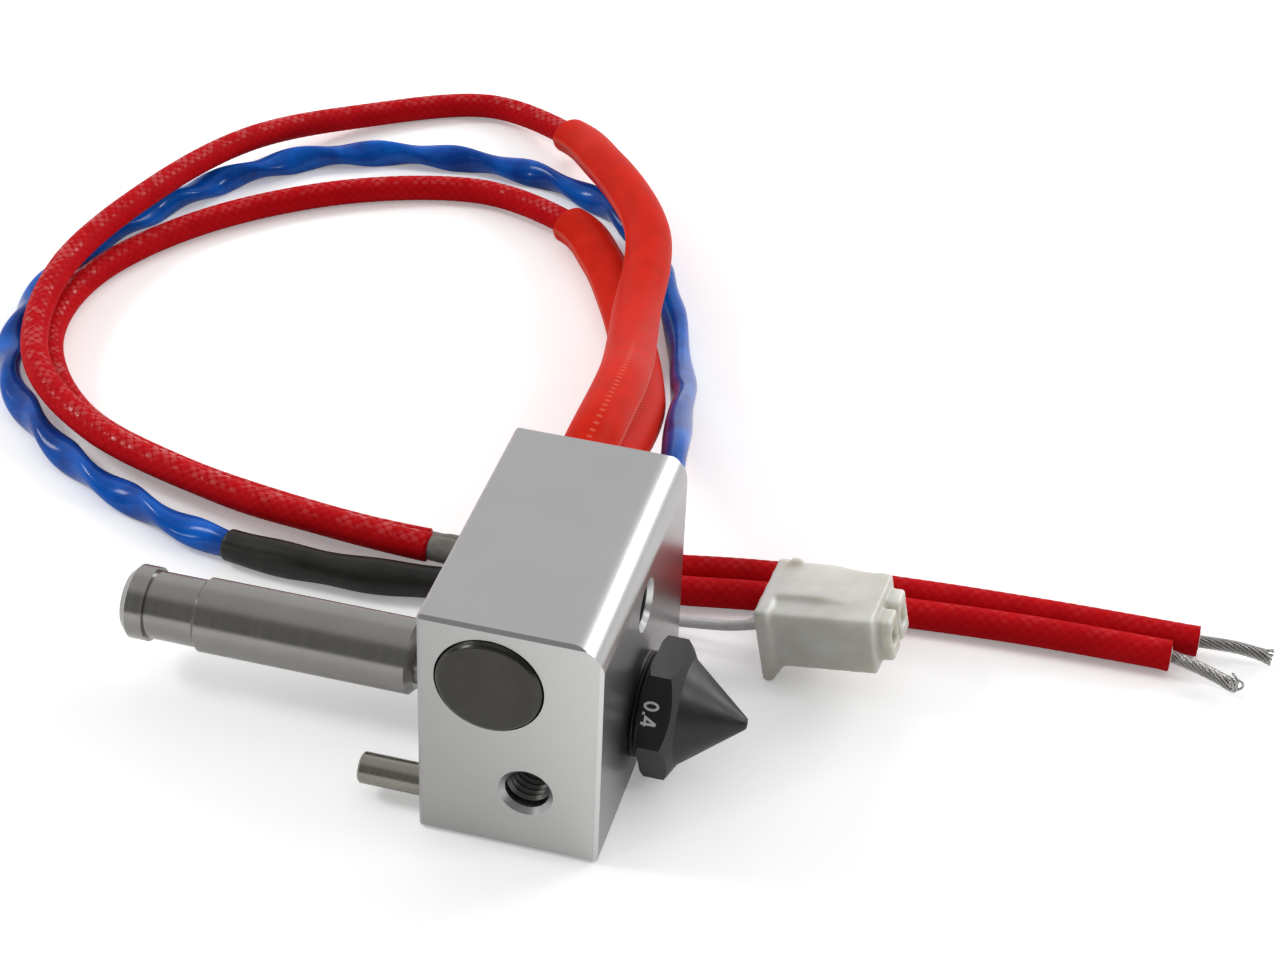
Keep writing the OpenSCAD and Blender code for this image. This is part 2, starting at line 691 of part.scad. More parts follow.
module connector_housing() {
  top_w = skirt_h + housing_h;
  flange_top_w = top_w + flange_out;
  slope_end_u = foot_len + foot_slope_len;
  rib_u = flange_len + rib_len;
  color("ivory") laid_housing() difference() {
    union() {
      across_housing(-flange_out, housing_w + flange_out) polygon([[0, 0], [foot_len, 0],
        [slope_end_u, skirt_h], [flange_len, skirt_h], [flange_len, flange_top_w],
        [0, flange_top_w]]);
      across_housing(0, housing_w) polygon([[flange_len, skirt_h], [body_end_u, skirt_h],
        [body_end_u, top_w], [flange_len, top_w]]);
      across_housing(rib_from_v, housing_w) polygon([[flange_len, top_w],
        [rib_u + rib_slope_len, top_w], [rib_u, top_w + rib_h], [flange_len, top_w + rib_h]]);
      translate([flange_len, housing_w - stop_w, top_w + rib_h])
        cube([stop_len, stop_w, stop_h]);
      in_cavities() translate([body_end_u, -tower_w / 2, tower_in - housing_h / 2])
        cube([tower_len, tower_w, housing_h - 2 * tower_in]);
    }
    in_cavities() square_bar(-cut, tower_end_u + cut, cavity_w);
  }
}

module crimp_contacts() {
  side = cavity_w - 2 * contact_gap;
  color("gold") laid_housing() in_cavities() union() {
    square_bar(crimp_u, crimp_u + crimp_len, side);
    difference() {
      square_bar(crimp_u + crimp_len, tower_end_u - contact_recess, side);
      square_bar(crimp_u + crimp_len + cut, tower_end_u, side - 2 * contact_t);
    }
  }
}

heater_block();
heater_sheath();
heater_insulation();
heater_winding();
heater_core();
heater_pins();
heater_end_seal();
heater_set_screw();
thermistor_can();
thermistor_potting();
thermistor_bead();
locating_pin();
nozzle();
heat_break_tube();
heat_break_barrel();
lead_sleeve_a();
lead_sleeve_b();
heater_lead_a();
heater_lead_b();
lead_splice_a();
lead_splice_b();
lead_tail_a();
lead_tail_b();
lead_strands_a();
lead_strands_b();
sensor_sleeve();
splice_shrink();
sensor_wire_a();
sensor_wire_b();
connector_housing();
crimp_contacts();
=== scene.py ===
# Looks, cords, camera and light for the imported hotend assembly, in metres in the part's frame:
# +X the way the nozzle points, +Y the way the leads leave, +Z up. Routes and sizes below are
# written in mm, as in the part's source, and times MM when a mesh is made from them.
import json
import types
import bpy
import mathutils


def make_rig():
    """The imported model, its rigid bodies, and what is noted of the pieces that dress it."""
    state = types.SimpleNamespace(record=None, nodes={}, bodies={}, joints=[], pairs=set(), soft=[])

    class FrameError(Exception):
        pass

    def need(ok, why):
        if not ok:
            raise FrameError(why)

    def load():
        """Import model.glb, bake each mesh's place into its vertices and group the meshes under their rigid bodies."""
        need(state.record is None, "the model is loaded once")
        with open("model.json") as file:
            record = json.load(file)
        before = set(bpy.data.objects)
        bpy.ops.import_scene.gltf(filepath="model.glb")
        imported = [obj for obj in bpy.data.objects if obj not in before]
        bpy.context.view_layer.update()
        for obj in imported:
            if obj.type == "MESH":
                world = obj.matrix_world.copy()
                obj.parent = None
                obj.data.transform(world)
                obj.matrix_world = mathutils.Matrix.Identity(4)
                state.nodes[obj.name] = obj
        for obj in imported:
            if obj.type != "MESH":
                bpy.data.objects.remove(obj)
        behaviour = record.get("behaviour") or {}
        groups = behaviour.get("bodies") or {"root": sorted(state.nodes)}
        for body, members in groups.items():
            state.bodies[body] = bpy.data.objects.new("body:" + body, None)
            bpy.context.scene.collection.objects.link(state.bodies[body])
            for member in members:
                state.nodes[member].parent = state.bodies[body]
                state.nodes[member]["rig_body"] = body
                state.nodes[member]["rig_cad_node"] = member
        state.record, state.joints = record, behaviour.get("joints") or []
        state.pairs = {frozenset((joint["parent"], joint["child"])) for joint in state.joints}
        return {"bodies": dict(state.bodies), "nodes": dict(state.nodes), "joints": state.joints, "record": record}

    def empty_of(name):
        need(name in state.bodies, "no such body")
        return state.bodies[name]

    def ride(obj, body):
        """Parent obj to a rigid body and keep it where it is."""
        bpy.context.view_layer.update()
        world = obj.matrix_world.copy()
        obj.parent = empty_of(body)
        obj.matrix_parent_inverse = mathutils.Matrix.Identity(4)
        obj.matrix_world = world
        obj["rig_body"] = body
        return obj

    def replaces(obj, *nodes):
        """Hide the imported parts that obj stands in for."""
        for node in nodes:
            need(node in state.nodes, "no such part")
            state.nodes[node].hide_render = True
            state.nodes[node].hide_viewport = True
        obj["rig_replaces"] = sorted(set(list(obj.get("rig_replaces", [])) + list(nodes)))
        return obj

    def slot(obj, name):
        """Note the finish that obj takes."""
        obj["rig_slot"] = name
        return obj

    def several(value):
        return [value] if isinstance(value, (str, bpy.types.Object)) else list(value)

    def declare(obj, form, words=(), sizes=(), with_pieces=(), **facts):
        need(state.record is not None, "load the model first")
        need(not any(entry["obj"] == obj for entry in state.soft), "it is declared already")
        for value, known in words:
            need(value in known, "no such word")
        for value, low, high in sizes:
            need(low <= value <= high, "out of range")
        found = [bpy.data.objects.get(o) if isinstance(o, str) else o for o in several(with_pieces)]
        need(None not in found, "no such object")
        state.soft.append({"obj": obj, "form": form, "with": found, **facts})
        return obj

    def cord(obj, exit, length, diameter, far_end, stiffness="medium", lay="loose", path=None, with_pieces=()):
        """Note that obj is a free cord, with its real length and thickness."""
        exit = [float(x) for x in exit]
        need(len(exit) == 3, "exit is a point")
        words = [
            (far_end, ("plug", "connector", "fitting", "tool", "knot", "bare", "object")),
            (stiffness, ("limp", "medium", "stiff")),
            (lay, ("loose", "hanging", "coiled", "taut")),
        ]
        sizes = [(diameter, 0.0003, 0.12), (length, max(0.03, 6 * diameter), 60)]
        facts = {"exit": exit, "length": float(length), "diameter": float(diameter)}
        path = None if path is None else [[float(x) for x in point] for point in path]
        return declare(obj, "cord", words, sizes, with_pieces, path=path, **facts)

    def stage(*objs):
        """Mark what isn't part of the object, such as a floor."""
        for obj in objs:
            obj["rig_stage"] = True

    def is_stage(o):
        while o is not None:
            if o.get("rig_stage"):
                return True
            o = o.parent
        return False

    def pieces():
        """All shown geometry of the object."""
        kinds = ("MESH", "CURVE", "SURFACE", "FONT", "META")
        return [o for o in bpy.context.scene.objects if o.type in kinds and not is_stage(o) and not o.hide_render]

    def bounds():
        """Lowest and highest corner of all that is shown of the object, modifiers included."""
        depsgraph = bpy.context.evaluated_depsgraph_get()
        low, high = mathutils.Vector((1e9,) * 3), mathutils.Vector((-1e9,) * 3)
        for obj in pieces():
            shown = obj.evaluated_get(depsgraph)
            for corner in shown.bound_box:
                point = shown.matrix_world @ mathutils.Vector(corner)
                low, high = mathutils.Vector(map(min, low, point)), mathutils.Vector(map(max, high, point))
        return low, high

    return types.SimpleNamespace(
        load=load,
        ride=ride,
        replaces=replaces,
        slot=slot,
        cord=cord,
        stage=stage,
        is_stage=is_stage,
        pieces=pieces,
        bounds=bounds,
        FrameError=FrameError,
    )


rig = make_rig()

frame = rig.load()

import json
import math
import random

import bpy
import numpy as np
from mathutils import Matrix, Vector
from mathutils.bvhtree import BVHTree

cad_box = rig.bounds()
MM = 0.001
TURN = 2 * math.pi
random.seed(11)

# ---------------------------------------------------------------- camera and image points
IMAGE_W, IMAGE_H = 1280, 960
SENSOR_WIDTH = 36.0
LENS = 74.92
CAMERA_AT = Vector((30.57, -110.48, 102.72)) * MM
CAMERA_AZIMUTH = math.radians(13.32)
CAMERA_DOWN = math.radians(36.23)
CAMERA_ROLL = math.radians(2.62)

POINTS = {
    "left_edge": (118, None),
    "right_edge": (747.5, None),
    "top_edge": (None, 426),
    "bottom_edge": (None, 866),
    "block_front_top_left": (418, 615),
    "block_front_bottom_left": (419, 825),
    "block_front_bottom_right": (595, 866),
    "block_back_top_left": (517, 426),
    "heater_end": (488, 686),
    "tapped_hole": (525, 797),
    "nozzle_tip": (746.5, 725),
    "pin_end": (361, 767),
    "size_number_0": (651.5, 706.5),
    "size_number_4": (648.2, 722.3),
    "connector_front_left": (767.5, 616.4),
    "connector_front_right": (878, 674.5),
}


def make_camera():
    data = bpy.data.cameras.new("camera")
    data.sensor_fit = "AUTO"
    data.sensor_width = SENSOR_WIDTH
    data.lens = LENS
    data.clip_start, data.clip_end = 0.01, 10.0
    camera = bpy.data.objects.new("camera", data)
    aim = (Matrix.Rotation(CAMERA_AZIMUTH, 4, "Z")
           @ Matrix.Rotation(math.pi / 2 - CAMERA_DOWN, 4, "X")
           @ Matrix.Rotation(CAMERA_ROLL, 4, "Z"))
    camera.matrix_world = Matrix.Translation(CAMERA_AT) @ aim
    bpy.context.scene.collection.objects.link(camera)
    bpy.context.scene.camera = camera
    bpy.context.view_layer.update()
    return camera


CAMERA = make_camera()
bpy.context.scene.view_settings.view_transform = "Standard"
FOCAL = max(IMAGE_W, IMAGE_H) * LENS / SENSOR_WIDTH


def image_ray(x, y):
    """Direction in the part's frame of the ray through an image point."""
    along = Vector((x - IMAGE_W / 2, IMAGE_H / 2 - y, -FOCAL))
    return (CAMERA.matrix_world.to_3x3() @ along).normalized()


def image_places(places):
    """Where places of the part show in the image."""
    matrix = np.array(CAMERA.matrix_world.inverted())
    p = np.asarray(places) @ matrix[:3, :3].T + matrix[:3, 3]
    scale = FOCAL / -p[:, 2]
    return np.stack([IMAGE_W / 2 + p[:, 0] * scale, IMAGE_H / 2 - p[:, 1] * scale], 1)


def place_on(tree, point, vertices):
    """Place and normal where the ray through an image point meets a surface."""
    way = image_ray(*point)
    place, normal, _, _ = tree.ray_cast(CAMERA_AT, way)
    if place is None:
        near = min(vertices, key=lambda v: ((v - CAMERA_AT).cross(way)).length)
        place, normal, _, _ = tree.find_nearest(near)
    return place, normal


# ---------------------------------------------------------------- meshes
def new_mesh(name, vertices, faces, uvs=None, smooth=True):
    """Mesh from arrays; uvs holds one pair for each corner of each face."""
    mesh = bpy.data.meshes.new(name)
    mesh.from_pydata([tuple(v) for v in vertices], [], [tuple(f) for f in faces])
    if uvs is not None:
        layer = mesh.uv_layers.new(name="cord")
        layer.data.foreach_set("uv", np.asarray(uvs, np.float32).ravel())
    mesh.polygons.foreach_set("use_smooth", [smooth] * len(mesh.polygons))
    mesh.update()
    return mesh


ROUTE_STEP = 0.12


class Route:
    """Smooth curve through points in mm, as in the part's source, with a frame that
    doesn't spin along it."""

    def __init__(self, points):
        p = np.array(points, float)
        p = np.vstack([2 * p[0] - p[1], p, 2 * p[-1] - p[-2]])
        fine, marks = [], []
        for a, b, c, d in zip(p, p[1:], p[2:], p[3:]):
            marks.append(len(fine))
            steps = max(8, int(np.linalg.norm(c - b) / ROUTE_STEP))
            for k in range(steps):
                t = k / steps
                fine.append(0.5 * (2 * b + (c - a) * t + (2 * a - 5 * b + 4 * c - d) * t * t
                                   + (3 * b - a - 3 * c + d) * t ** 3))
        marks.append(len(fine))
        fine.append(p[-2])
        self.points = np.array(fine)
        step = np.linalg.norm(np.diff(self.points, axis=0), axis=1)
        self.run = np.concatenate([[0], np.cumsum(step)])
        self.length = self.run[-1]
        self.marks = [self.run[m] for m in marks]
        self.way = np.gradient(self.points, self.run, axis=0)
        self.way /= np.linalg.norm(self.way, axis=1)[:, None]
        side = np.cross([0, 0, 1.0], self.way[0])
        side /= np.linalg.norm(side)
        sides = [side]
        for w in self.way[1:]:
            side = side - w * side.dot(w)
            side /= np.linalg.norm(side)
            sides.append(side)
        self.side = np.array(sides)
        self.up = np.cross(self.way, self.side)

    def at(self, s):
        """Places, ways, sides and ups at run lengths s; it runs on straight past its ends."""
        s = np.asarray(s, float)
        inside = np.clip(s, 0, self.length)

        def pick(values):
            return np.stack([np.interp(inside, self.run, values[:, k]) for k in range(3)], 1)

        way = pick(self.way)
        way /= np.linalg.norm(way, axis=1)[:, None]
        place = pick(self.points) + way * (s - inside)[:, None]
        return place, way, pick(self.side), pick(self.up)

    def path(self, pitch=1.0):
        count = max(2, int(self.length / pitch))
        return self.at(np.linspace(0, self.length, count + 1))[0] * MM


def tube_arrays(route, runs, sides, shape, loop=False):
    """Rings round a route with closed ends. shape(ring, run, angle) gives each vertex's two
    offsets in mm. loop joins the last ring to the first instead, for a hollow tube."""
    runs = np.asarray(runs, float)
    angle = np.arange(sides) / sides * TURN
    place, _, side, up = route.at(runs)
    x, y = shape(np.arange(len(runs))[:, None], runs[:, None], angle[None, :])
    vertices = (place[:, None, :] + side[:, None, :] * x[:, :, None]
                + up[:, None, :] * y[:, :, None]).reshape(-1, 3)
    faces, uvs = [], []
    count = len(runs)
    pairs = [(i, i + 1) for i in range(count - 1)] + ([(count - 1, 0)] if loop else [])
    for i, k in pairs:
        for j in range(sides):
            n = (j + 1) % sides
            faces.append((i * sides + j, i * sides + n, k * sides + n, k * sides + j))
            a, b = j / sides, (j + 1) / sides
            uvs += [(runs[i], a), (runs[i], b), (runs[k], b), (runs[k], a)]
    vertices = list(vertices)
    if not loop:
        for i, flip in ((0, True), (count - 1, False)):
            centre = len(vertices)
            vertices.append(np.mean(vertices[i * sides:(i + 1) * sides], axis=0))
            for j in range(sides):
                n = (j + 1) % sides
                ring = (i * sides + j, i * sides + n)
                faces.append((ring[1], ring[0], centre) if flip else (*ring, centre))
                uvs += [(runs[i], 0)] * 3
    return np.array(vertices) * MM, faces, uvs


def round_shape(radius):
    """Shape of a plain round tube."""
    return lambda i, s, a: (radius * np.cos(a) + 0 * s, radius * np.sin(a) + 0 * s)


# Angles of a rounded rim's rings, between its flat end and its side
RIM_BEND = (22, 45, 68)


def hollow_tube(route, start, end, outer, inner, pitch, sides, edge, form):
    """Closed hollow tube with rounded rims; form(radii, s, a) gives its vertices' offsets."""
    body = list(np.linspace(start + edge, end - edge, max(2, int((end - start) / pitch))))
    bend = [(edge * math.sin(t), edge * math.cos(t)) for t in np.radians(RIM_BEND)]
    rim = ([(end - edge + out, outer - edge + up) for out, up in bend]
           + [(end - edge + up, inner + edge - out) for out, up in bend])
    back = [(s, inner) for s in reversed(body[::3] + [body[-1]])]
    other_rim = [(start + end - s, r) for s, r in reversed(rim)]
    runs, radii = zip(*[(s, outer) for s in body], *rim, *back, *other_rim)
    radii = np.asarray(radii, float)[:, None]
    return tube_arrays(route, runs, sides, lambda i, s, a: form(radii, s, a), loop=True)


def join_arrays(parts):
    """One mesh's arrays from those of several."""
    vertices, faces, uvs = [], [], []
    for v, f, u in parts:
        base = len(vertices)
        vertices += list(v)
        faces += [tuple(k + base for k in face) for face in f]
        uvs += list(u)
    return vertices, faces, uvs


# ---------------------------------------------------------------- routes, as in the part's source
HEATER_EXIT_Y = 9.7
LEAD_A_EXIT = [-1.35, HEATER_EXIT_Y, 12.8]
LEAD_B_EXIT = [-0.85, HEATER_EXIT_Y, 9.6]
SENSOR_EXIT = [2.9, 10.0, 8.2]
EXIT_RUN = 3.5


def straight_out(exit_point):
    """A cord's first two points, straight out along +Y."""
    return [exit_point, [exit_point[0], exit_point[1] + EXIT_RUN, exit_point[2]]]


LEAD_A = straight_out(LEAD_A_EXIT) + [
    [-1.9, 20, 11.2], [-2.9, 26, 8.8], [-4.1, 32, 6.8], [-5.3, 38, 5.4], [-6.2, 44, 4.9],
    [-7.5, 49, 4.7], [-10, 54, 4.2], [-13.5, 59.5, 3.3], [-17.9, 65.6, 1.8], [-26, 69.5, 1],
    [-34.5, 64.5, 1.2], [-40.5, 56, 2.6], [-44, 45.5, 3.2], [-45.8, 34, 3.1], [-43, 23.5, 2.9],
    [-36, 17.2, 2.6], [-26, 13.8, 2.4], [-19, 12.8, 2.3], [-11.6, 12.3, 2.2], [-4, 12.8, 1.9],
    [2.5, 13.9, 1.2], [9, 15.3, 1], [17, 16.3, 1], [25, 16.8, 1.1], [33.5, 17, 1.1]]
LEAD_B = straight_out(LEAD_B_EXIT) + [
    [-1.2, 20, 7.4], [-2, 26, 5.4], [-3.5, 32, 3.3], [-5.4, 38, 1.7], [-7.8, 43.5, 1.6],
    [-10.8, 49, 1.6], [-14.3, 53, 1.6], [-22.5, 56.5, 1], [-32, 53.2, 1], [-40.2, 46, 1],
    [-44.8, 37, 1], [-44.2, 28, 1], [-38.5, 20.5, 1], [-30, 16.7, 1], [-20, 14.7, 1],
    [-12.2, 14.2, 1], [-4, 14.8, 1], [8, 17.3, 1], [17, 18.3, 1], [26, 18.8, 1], [35, 19, 1]]
SENSOR = straight_out(SENSOR_EXIT) + [
    [2, 19, 7.8], [0.8, 25.5, 5.8], [-0.6, 32.5, 3.2], [-2.6, 39.5, 1.2], [-5, 46.5, 0.9],
    [-8.5, 53, 0.9], [-13.2, 57.8, 0.9], [-20.5, 60.7, 0.9], [-30, 60.2, 0.9], [-38, 56, 0.9],
    [-44.2, 47, 0.9], [-47.4, 36, 0.9], [-45.6, 24.5, 0.9], [-38.5, 16.8, 0.9], [-31, 12.6, 0.9],
    [-24, 10.2, 1.1], [-16, 9.7, 1.2], [-8, 10.6, 1.2], [-2, 10.6, 1.2]]
# Numbers of the points where sleeves end, splices lie and the shrink tube begins
SLEEVE_A_END, SLEEVE_B_END = 10, 8
SPLICE_A, SPLICE_B = (20, 21), (17, 18)
SHRINK_FROM = 17
STRANDS_A = [[33.5, 17, 1.1], [35.5, 16.4, 1], [37.6, 15.6, 0.8]]
STRANDS_B = [[35, 19, 1], [37.3, 19.1, 1], [39.5, 19, 0.8]]
LEAD_D, SLEEVE_D, SLEEVE_BORE_D, SPLICE_D = 1.9, 3.1, 2.4, 1.6
SENSOR_D, SHRINK_D, WIRE_D = 1.7, 2.2, 0.6

# The connector's own frame: u along it from the wire end, v across it, w up
HOUSING_AT = (10.4, 8.9, 0.0)
HOUSING_YAW = math.radians(-4)
HOUSING_LIFT = math.radians(11)
HOUSING_W, HOUSING_H = 5.1, 3.8
SKIRT_H = 1.0
CONTACT_PITCH = 2.0
CRIMP_U = 1.0


def in_housing(u, v, w):
    """A place in the connector's frame, in mm in the part's frame."""
    x = u * math.cos(HOUSING_LIFT) - w * math.sin(HOUSING_LIFT)
    z = w * math.cos(HOUSING_LIFT) + u * math.sin(HOUSING_LIFT)
    return [HOUSING_AT[0] + x * math.cos(HOUSING_YAW) - v * math.sin(HOUSING_YAW),
            HOUSING_AT[1] + x * math.sin(HOUSING_YAW) + v * math.cos(HOUSING_YAW),
            HOUSING_AT[2] + z]


CAVITY_W = SKIRT_H + HOUSING_H / 2
CONTACT_A, CONTACT_B = (HOUSING_W - CONTACT_PITCH) / 2, (HOUSING_W + CONTACT_PITCH) / 2
WIRE_A = [[-2, 10.2, 1.2], [0, 10.2, 1.2], [4, 10.4, 1.7], [7.6, 10.4, 2.2],
          in_housing(0, CONTACT_A, CAVITY_W), in_housing(CRIMP_U, CONTACT_A, CAVITY_W)]
WIRE_B = [[-2, 11, 1.2], [0, 11, 1.2], [4, 11.2, 1.3], [8.6, 11.2, 1.9],
          in_housing(0, CONTACT_B, CAVITY_W), in_housing(CRIMP_U, CONTACT_B, CAVITY_W)]


# ---------------------------------------------------------------- materials
MATERIALS = {}


class Graph:
    """Short way to write the nodes of a material, which it keeps in MATERIALS, or of the world
    where one is given."""

    def __init__(self, name, world=None):
        self.material = world or bpy.data.materials.new(name)
        self.material.use_nodes = True
        self.nodes = self.material.node_tree.nodes
        self.shader = self.nodes["Background" if world else "Principled BSDF"]
        MATERIALS[name] = self.material

    def feed(self, socket, value):
        if isinstance(value, bpy.types.NodeSocket):
            self.material.node_tree.links.new(value, socket)
        else:
            socket.default_value = (*value, 1) if socket.type == "RGBA" else value

    def node(self, kind, inputs=(), **settings):
        """A node with its settings, and its inputs fed from pairs of a key and a value."""
        made = self.nodes.new(kind)
        for key, value in settings.items():
            setattr(made, key, value)
        for key, value in inputs:
            self.feed(made.inputs[key], value)
        return made

    def math(self, operation, *values):
        return self.node("ShaderNodeMath", enumerate(values), operation=operation).outputs[0]

    def add(self, a, b):
        return self.math("ADD", a, b)

    def sub(self, a, b):
        return self.math("SUBTRACT", a, b)

    def mul(self, a, b):
        return self.math("MULTIPLY", a, b)

    def length(self, a, b):
        """Length of the vector (a, b)."""
        return self.math("SQRT", self.add(self.math("POWER", a, 2.0),
                                          self.math("POWER", b, 2.0)))

    def ramp(self, value, low, high, out_low=0.0, out_high=1.0, smooth=True):
        """Value from low to high mapped to out_low to out_high, and clamped."""
        inputs = zip(("Value", "From Min", "From Max", "To Min", "To Max"),
                     (value, low, high, out_low, out_high))
        return self.node("ShaderNodeMapRange", inputs,
                         interpolation_type="SMOOTHSTEP" if smooth else "LINEAR").outputs[0]

    def mix(self, factor, first, second):
        """Mix of two colours."""
        inputs = (("Factor", factor), (6, first), (7, second))
        return self.node("ShaderNodeMix", inputs, data_type="RGBA").outputs[2]

    def stretch(self, vector, scale):
        return self.node("ShaderNodeVectorMath", enumerate((vector, scale)),
                         operation="MULTIPLY").outputs[0]

    def place(self):
        """The place in mm, as a vector."""
        return self.stretch(self.node("ShaderNodeTexCoord").outputs["Object"], (1 / MM,) * 3)

    def normal(self):
        return self.node("ShaderNodeTexCoord").outputs["Normal"]

    def cord(self):
        """Run in mm and share of the turn round a cord."""
        return self.split(self.node("ShaderNodeUVMap", uv_map="cord").outputs[0])[:2]

    def split(self, vector):
        return self.node("ShaderNodeSeparateXYZ", [(0, vector)]).outputs

    def join(self, x, y, z=0.0):
        return self.node("ShaderNodeCombineXYZ", enumerate((x, y, z))).outputs[0]

    def noise(self, vector, scale, detail, rough):
        inputs = zip(("Vector", "Scale", "Detail", "Roughness"), (vector, scale, detail, rough))
        return self.node("ShaderNodeTexNoise", inputs).outputs[0]

    def bump(self, height, strength, distance):
        """Bump from a height, with its distance in mm."""
        inputs = zip(("Strength", "Distance", "Height"), (strength, distance * MM, height))
        return self.node("ShaderNodeBump", inputs).outputs[0]

    def set(self, **values):
        names = {"color": "Base Color", "metallic": "Metallic", "roughness": "Roughness",
                 "normal": "Normal", "coat": "Coat Weight", "specular": "Specular IOR Level",
                 "subsurface": "Subsurface Weight", "subsurface_scale": "Subsurface Scale",
                 "subsurface_radius": "Subsurface Radius", "lift": "Emission Strength"}
        for key, value in values.items():
            self.feed(self.shader.inputs[names[key]], value)


# Axes in the block, in mm: the heater's along Y, the set screw's along X at the same height,
# the front tapped hole's along Y and the nozzle's along X, again at one height
HEATER_X, HEATER_Z = -1.1, 11.2
FRONT_HOLE_X, NOZZLE_Z = 1.0, 4.15
# Radii between which a tapped hole's shade fades out, just outside its wall
HOLE_SHADE_FROM, HOLE_SHADE_TO = 1.27, 1.4


def block_alloy():
    """Satin ground aluminium, with the face at the nozzle polished."""
    g = Graph("block_alloy")
    place, normal = g.place(), g.normal()
    x, y, z = g.split(place)
    nx, ny, _ = g.split(normal)
    polished = g.mul(g.ramp(nx, 0.3, 0.5), g.ramp(x, 2.6, 3.0))
    across = g.ramp(g.add(x, g.mul(z, 0.25)), -5.0, 8.5, smooth=False)
    grain = g.noise(g.stretch(place, (2.0, 2.2, 14.0)), 2.0, 5.0, 0.6)
    fine = g.noise(g.stretch(place, (9.0, 1.2, 9.0)), 3.0, 3.0, 0.6)
    # Milling arcs round the heater's bore on the front face
    far = g.length(g.sub(x, HEATER_X), g.sub(z, HEATER_Z))
    arcs = g.noise(g.join(g.mul(far, 5.0), 0.0), 1.0, 3.0, 0.6)
    front = g.ramp(ny, -0.8, -0.95)
    cloud = g.noise(place, 0.16, 2.0, 0.5)
    base = g.mix(cloud, (0.42, 0.414, 0.416), (0.48, 0.473, 0.476))
    # Painted light: the ground front face is painted darker at the left and lighter towards the right and the top
    ground = g.mix(across, (0.39, 0.386, 0.376), (0.60, 0.595, 0.585))
    milled_with_painted_light = g.mix(g.ramp(arcs, 0.35, 0.7, 0.0, 0.25), ground, (0.52, 0.515, 0.50))
    color = g.mix(front, base, milled_with_painted_light)
    # Painted shade: the threads deep in the tapped holes are painted darker, as the shade that falls inside the holes
    from_front = g.length(g.sub(x, FRONT_HOLE_X), g.sub(z, NOZZLE_Z))
    front_hole = g.mul(g.ramp(from_front, HOLE_SHADE_TO, HOLE_SHADE_FROM), g.ramp(y, -8.7, -8.3))
    from_side = g.length(y, g.sub(z, HEATER_Z))
    side_hole = g.mul(g.ramp(from_side, HOLE_SHADE_TO, HOLE_SHADE_FROM), g.ramp(x, 4.95, 4.6))
    # cut is the painted shade of both holes
    cut = g.math("MAXIMUM", front_hole, side_hole)
    color = g.mix(cut, color, (0.13, 0.128, 0.122))
    # Painted highlight: the upright edge between the front and the polished face is painted lighter
    painted_edge_highlight = g.mul(polished, g.ramp(ny, -0.45, -0.6))
    color = g.mix(painted_edge_highlight, color, (0.64, 0.636, 0.628))
    rough = g.add(g.ramp(fine, 0.3, 0.7, 0.31, 0.38), g.mul(grain, 0.05))
    g.set(color=color, metallic=1.0,
          roughness=g.add(g.mul(rough, g.sub(1.0, polished)), g.mul(polished, 0.28)))
    height = g.add(g.mul(grain, 0.5), g.mul(fine, 0.5))
    height = g.add(height, g.mul(g.mul(arcs, front), 0.3))
    height = g.mul(height, g.ramp(polished, 0.0, 1.0, 1.0, 0.06))
    g.set(normal=g.bump(height, 0.25, 0.012))


def turned_steel(name, dark, light, rough_low, rough_high, marks=1.0, pitch=6.0):
    """Turned metal: fine rings along X and a little colour drift."""
    g = Graph(name)
    place = g.place()
    rings = g.noise(g.stretch(place, (pitch, 0.12, 0.12)), 1.0, 4.0, 0.65)
    drift = g.noise(place, 0.35, 2.0, 0.5)
    g.set(color=g.mix(drift, dark, light), metallic=1.0,
          roughness=g.ramp(rings, 0.3, 0.7, rough_low, rough_high),
          normal=g.bump(rings, 0.25 * marks, 0.012))


def drawn_steel(name, dark, light, rough_low, rough_high):
    """Drawn or ground metal with streaks along Y and small specks."""
    g = Graph(name)
    place = g.place()
    streaks = g.noise(g.stretch(place, (5.0, 0.5, 5.0)), 1.0, 4.0, 0.6)
    cloud = g.noise(place, 0.7, 3.0, 0.5)
    g.set(color=g.mix(g.ramp(cloud, 0.3, 0.7), dark, light), metallic=1.0,
          roughness=g.ramp(streaks, 0.3, 0.7, rough_low, rough_high),
          normal=g.bump(streaks, 0.15, 0.008))


def coated_steel():
    """Black coated nozzle: satin, over faint turning marks."""
    g = Graph("nozzle_steel")
    place = g.place()
    rings = g.noise(g.stretch(place, (7.0, 0.25, 0.25)), 1.0, 3.0, 0.5)
    cloud = g.noise(place, 0.8, 3.0, 0.5)
    color = g.mix(g.ramp(cloud, 0.3, 0.75), (0.006, 0.0055, 0.0065), (0.011, 0.0105, 0.010))
    g.set(color=color, roughness=g.ramp(cloud, 0.3, 0.7, 0.38, 0.46), specular=0.52,
          normal=g.bump(rings, 0.12, 0.008))


# Yarns of the braid each way, and length of its turn and depth of its relief in mm
BRAID_COUNT, BRAID_LAY, BRAID_DEPTH = 8, 5.8, 0.025


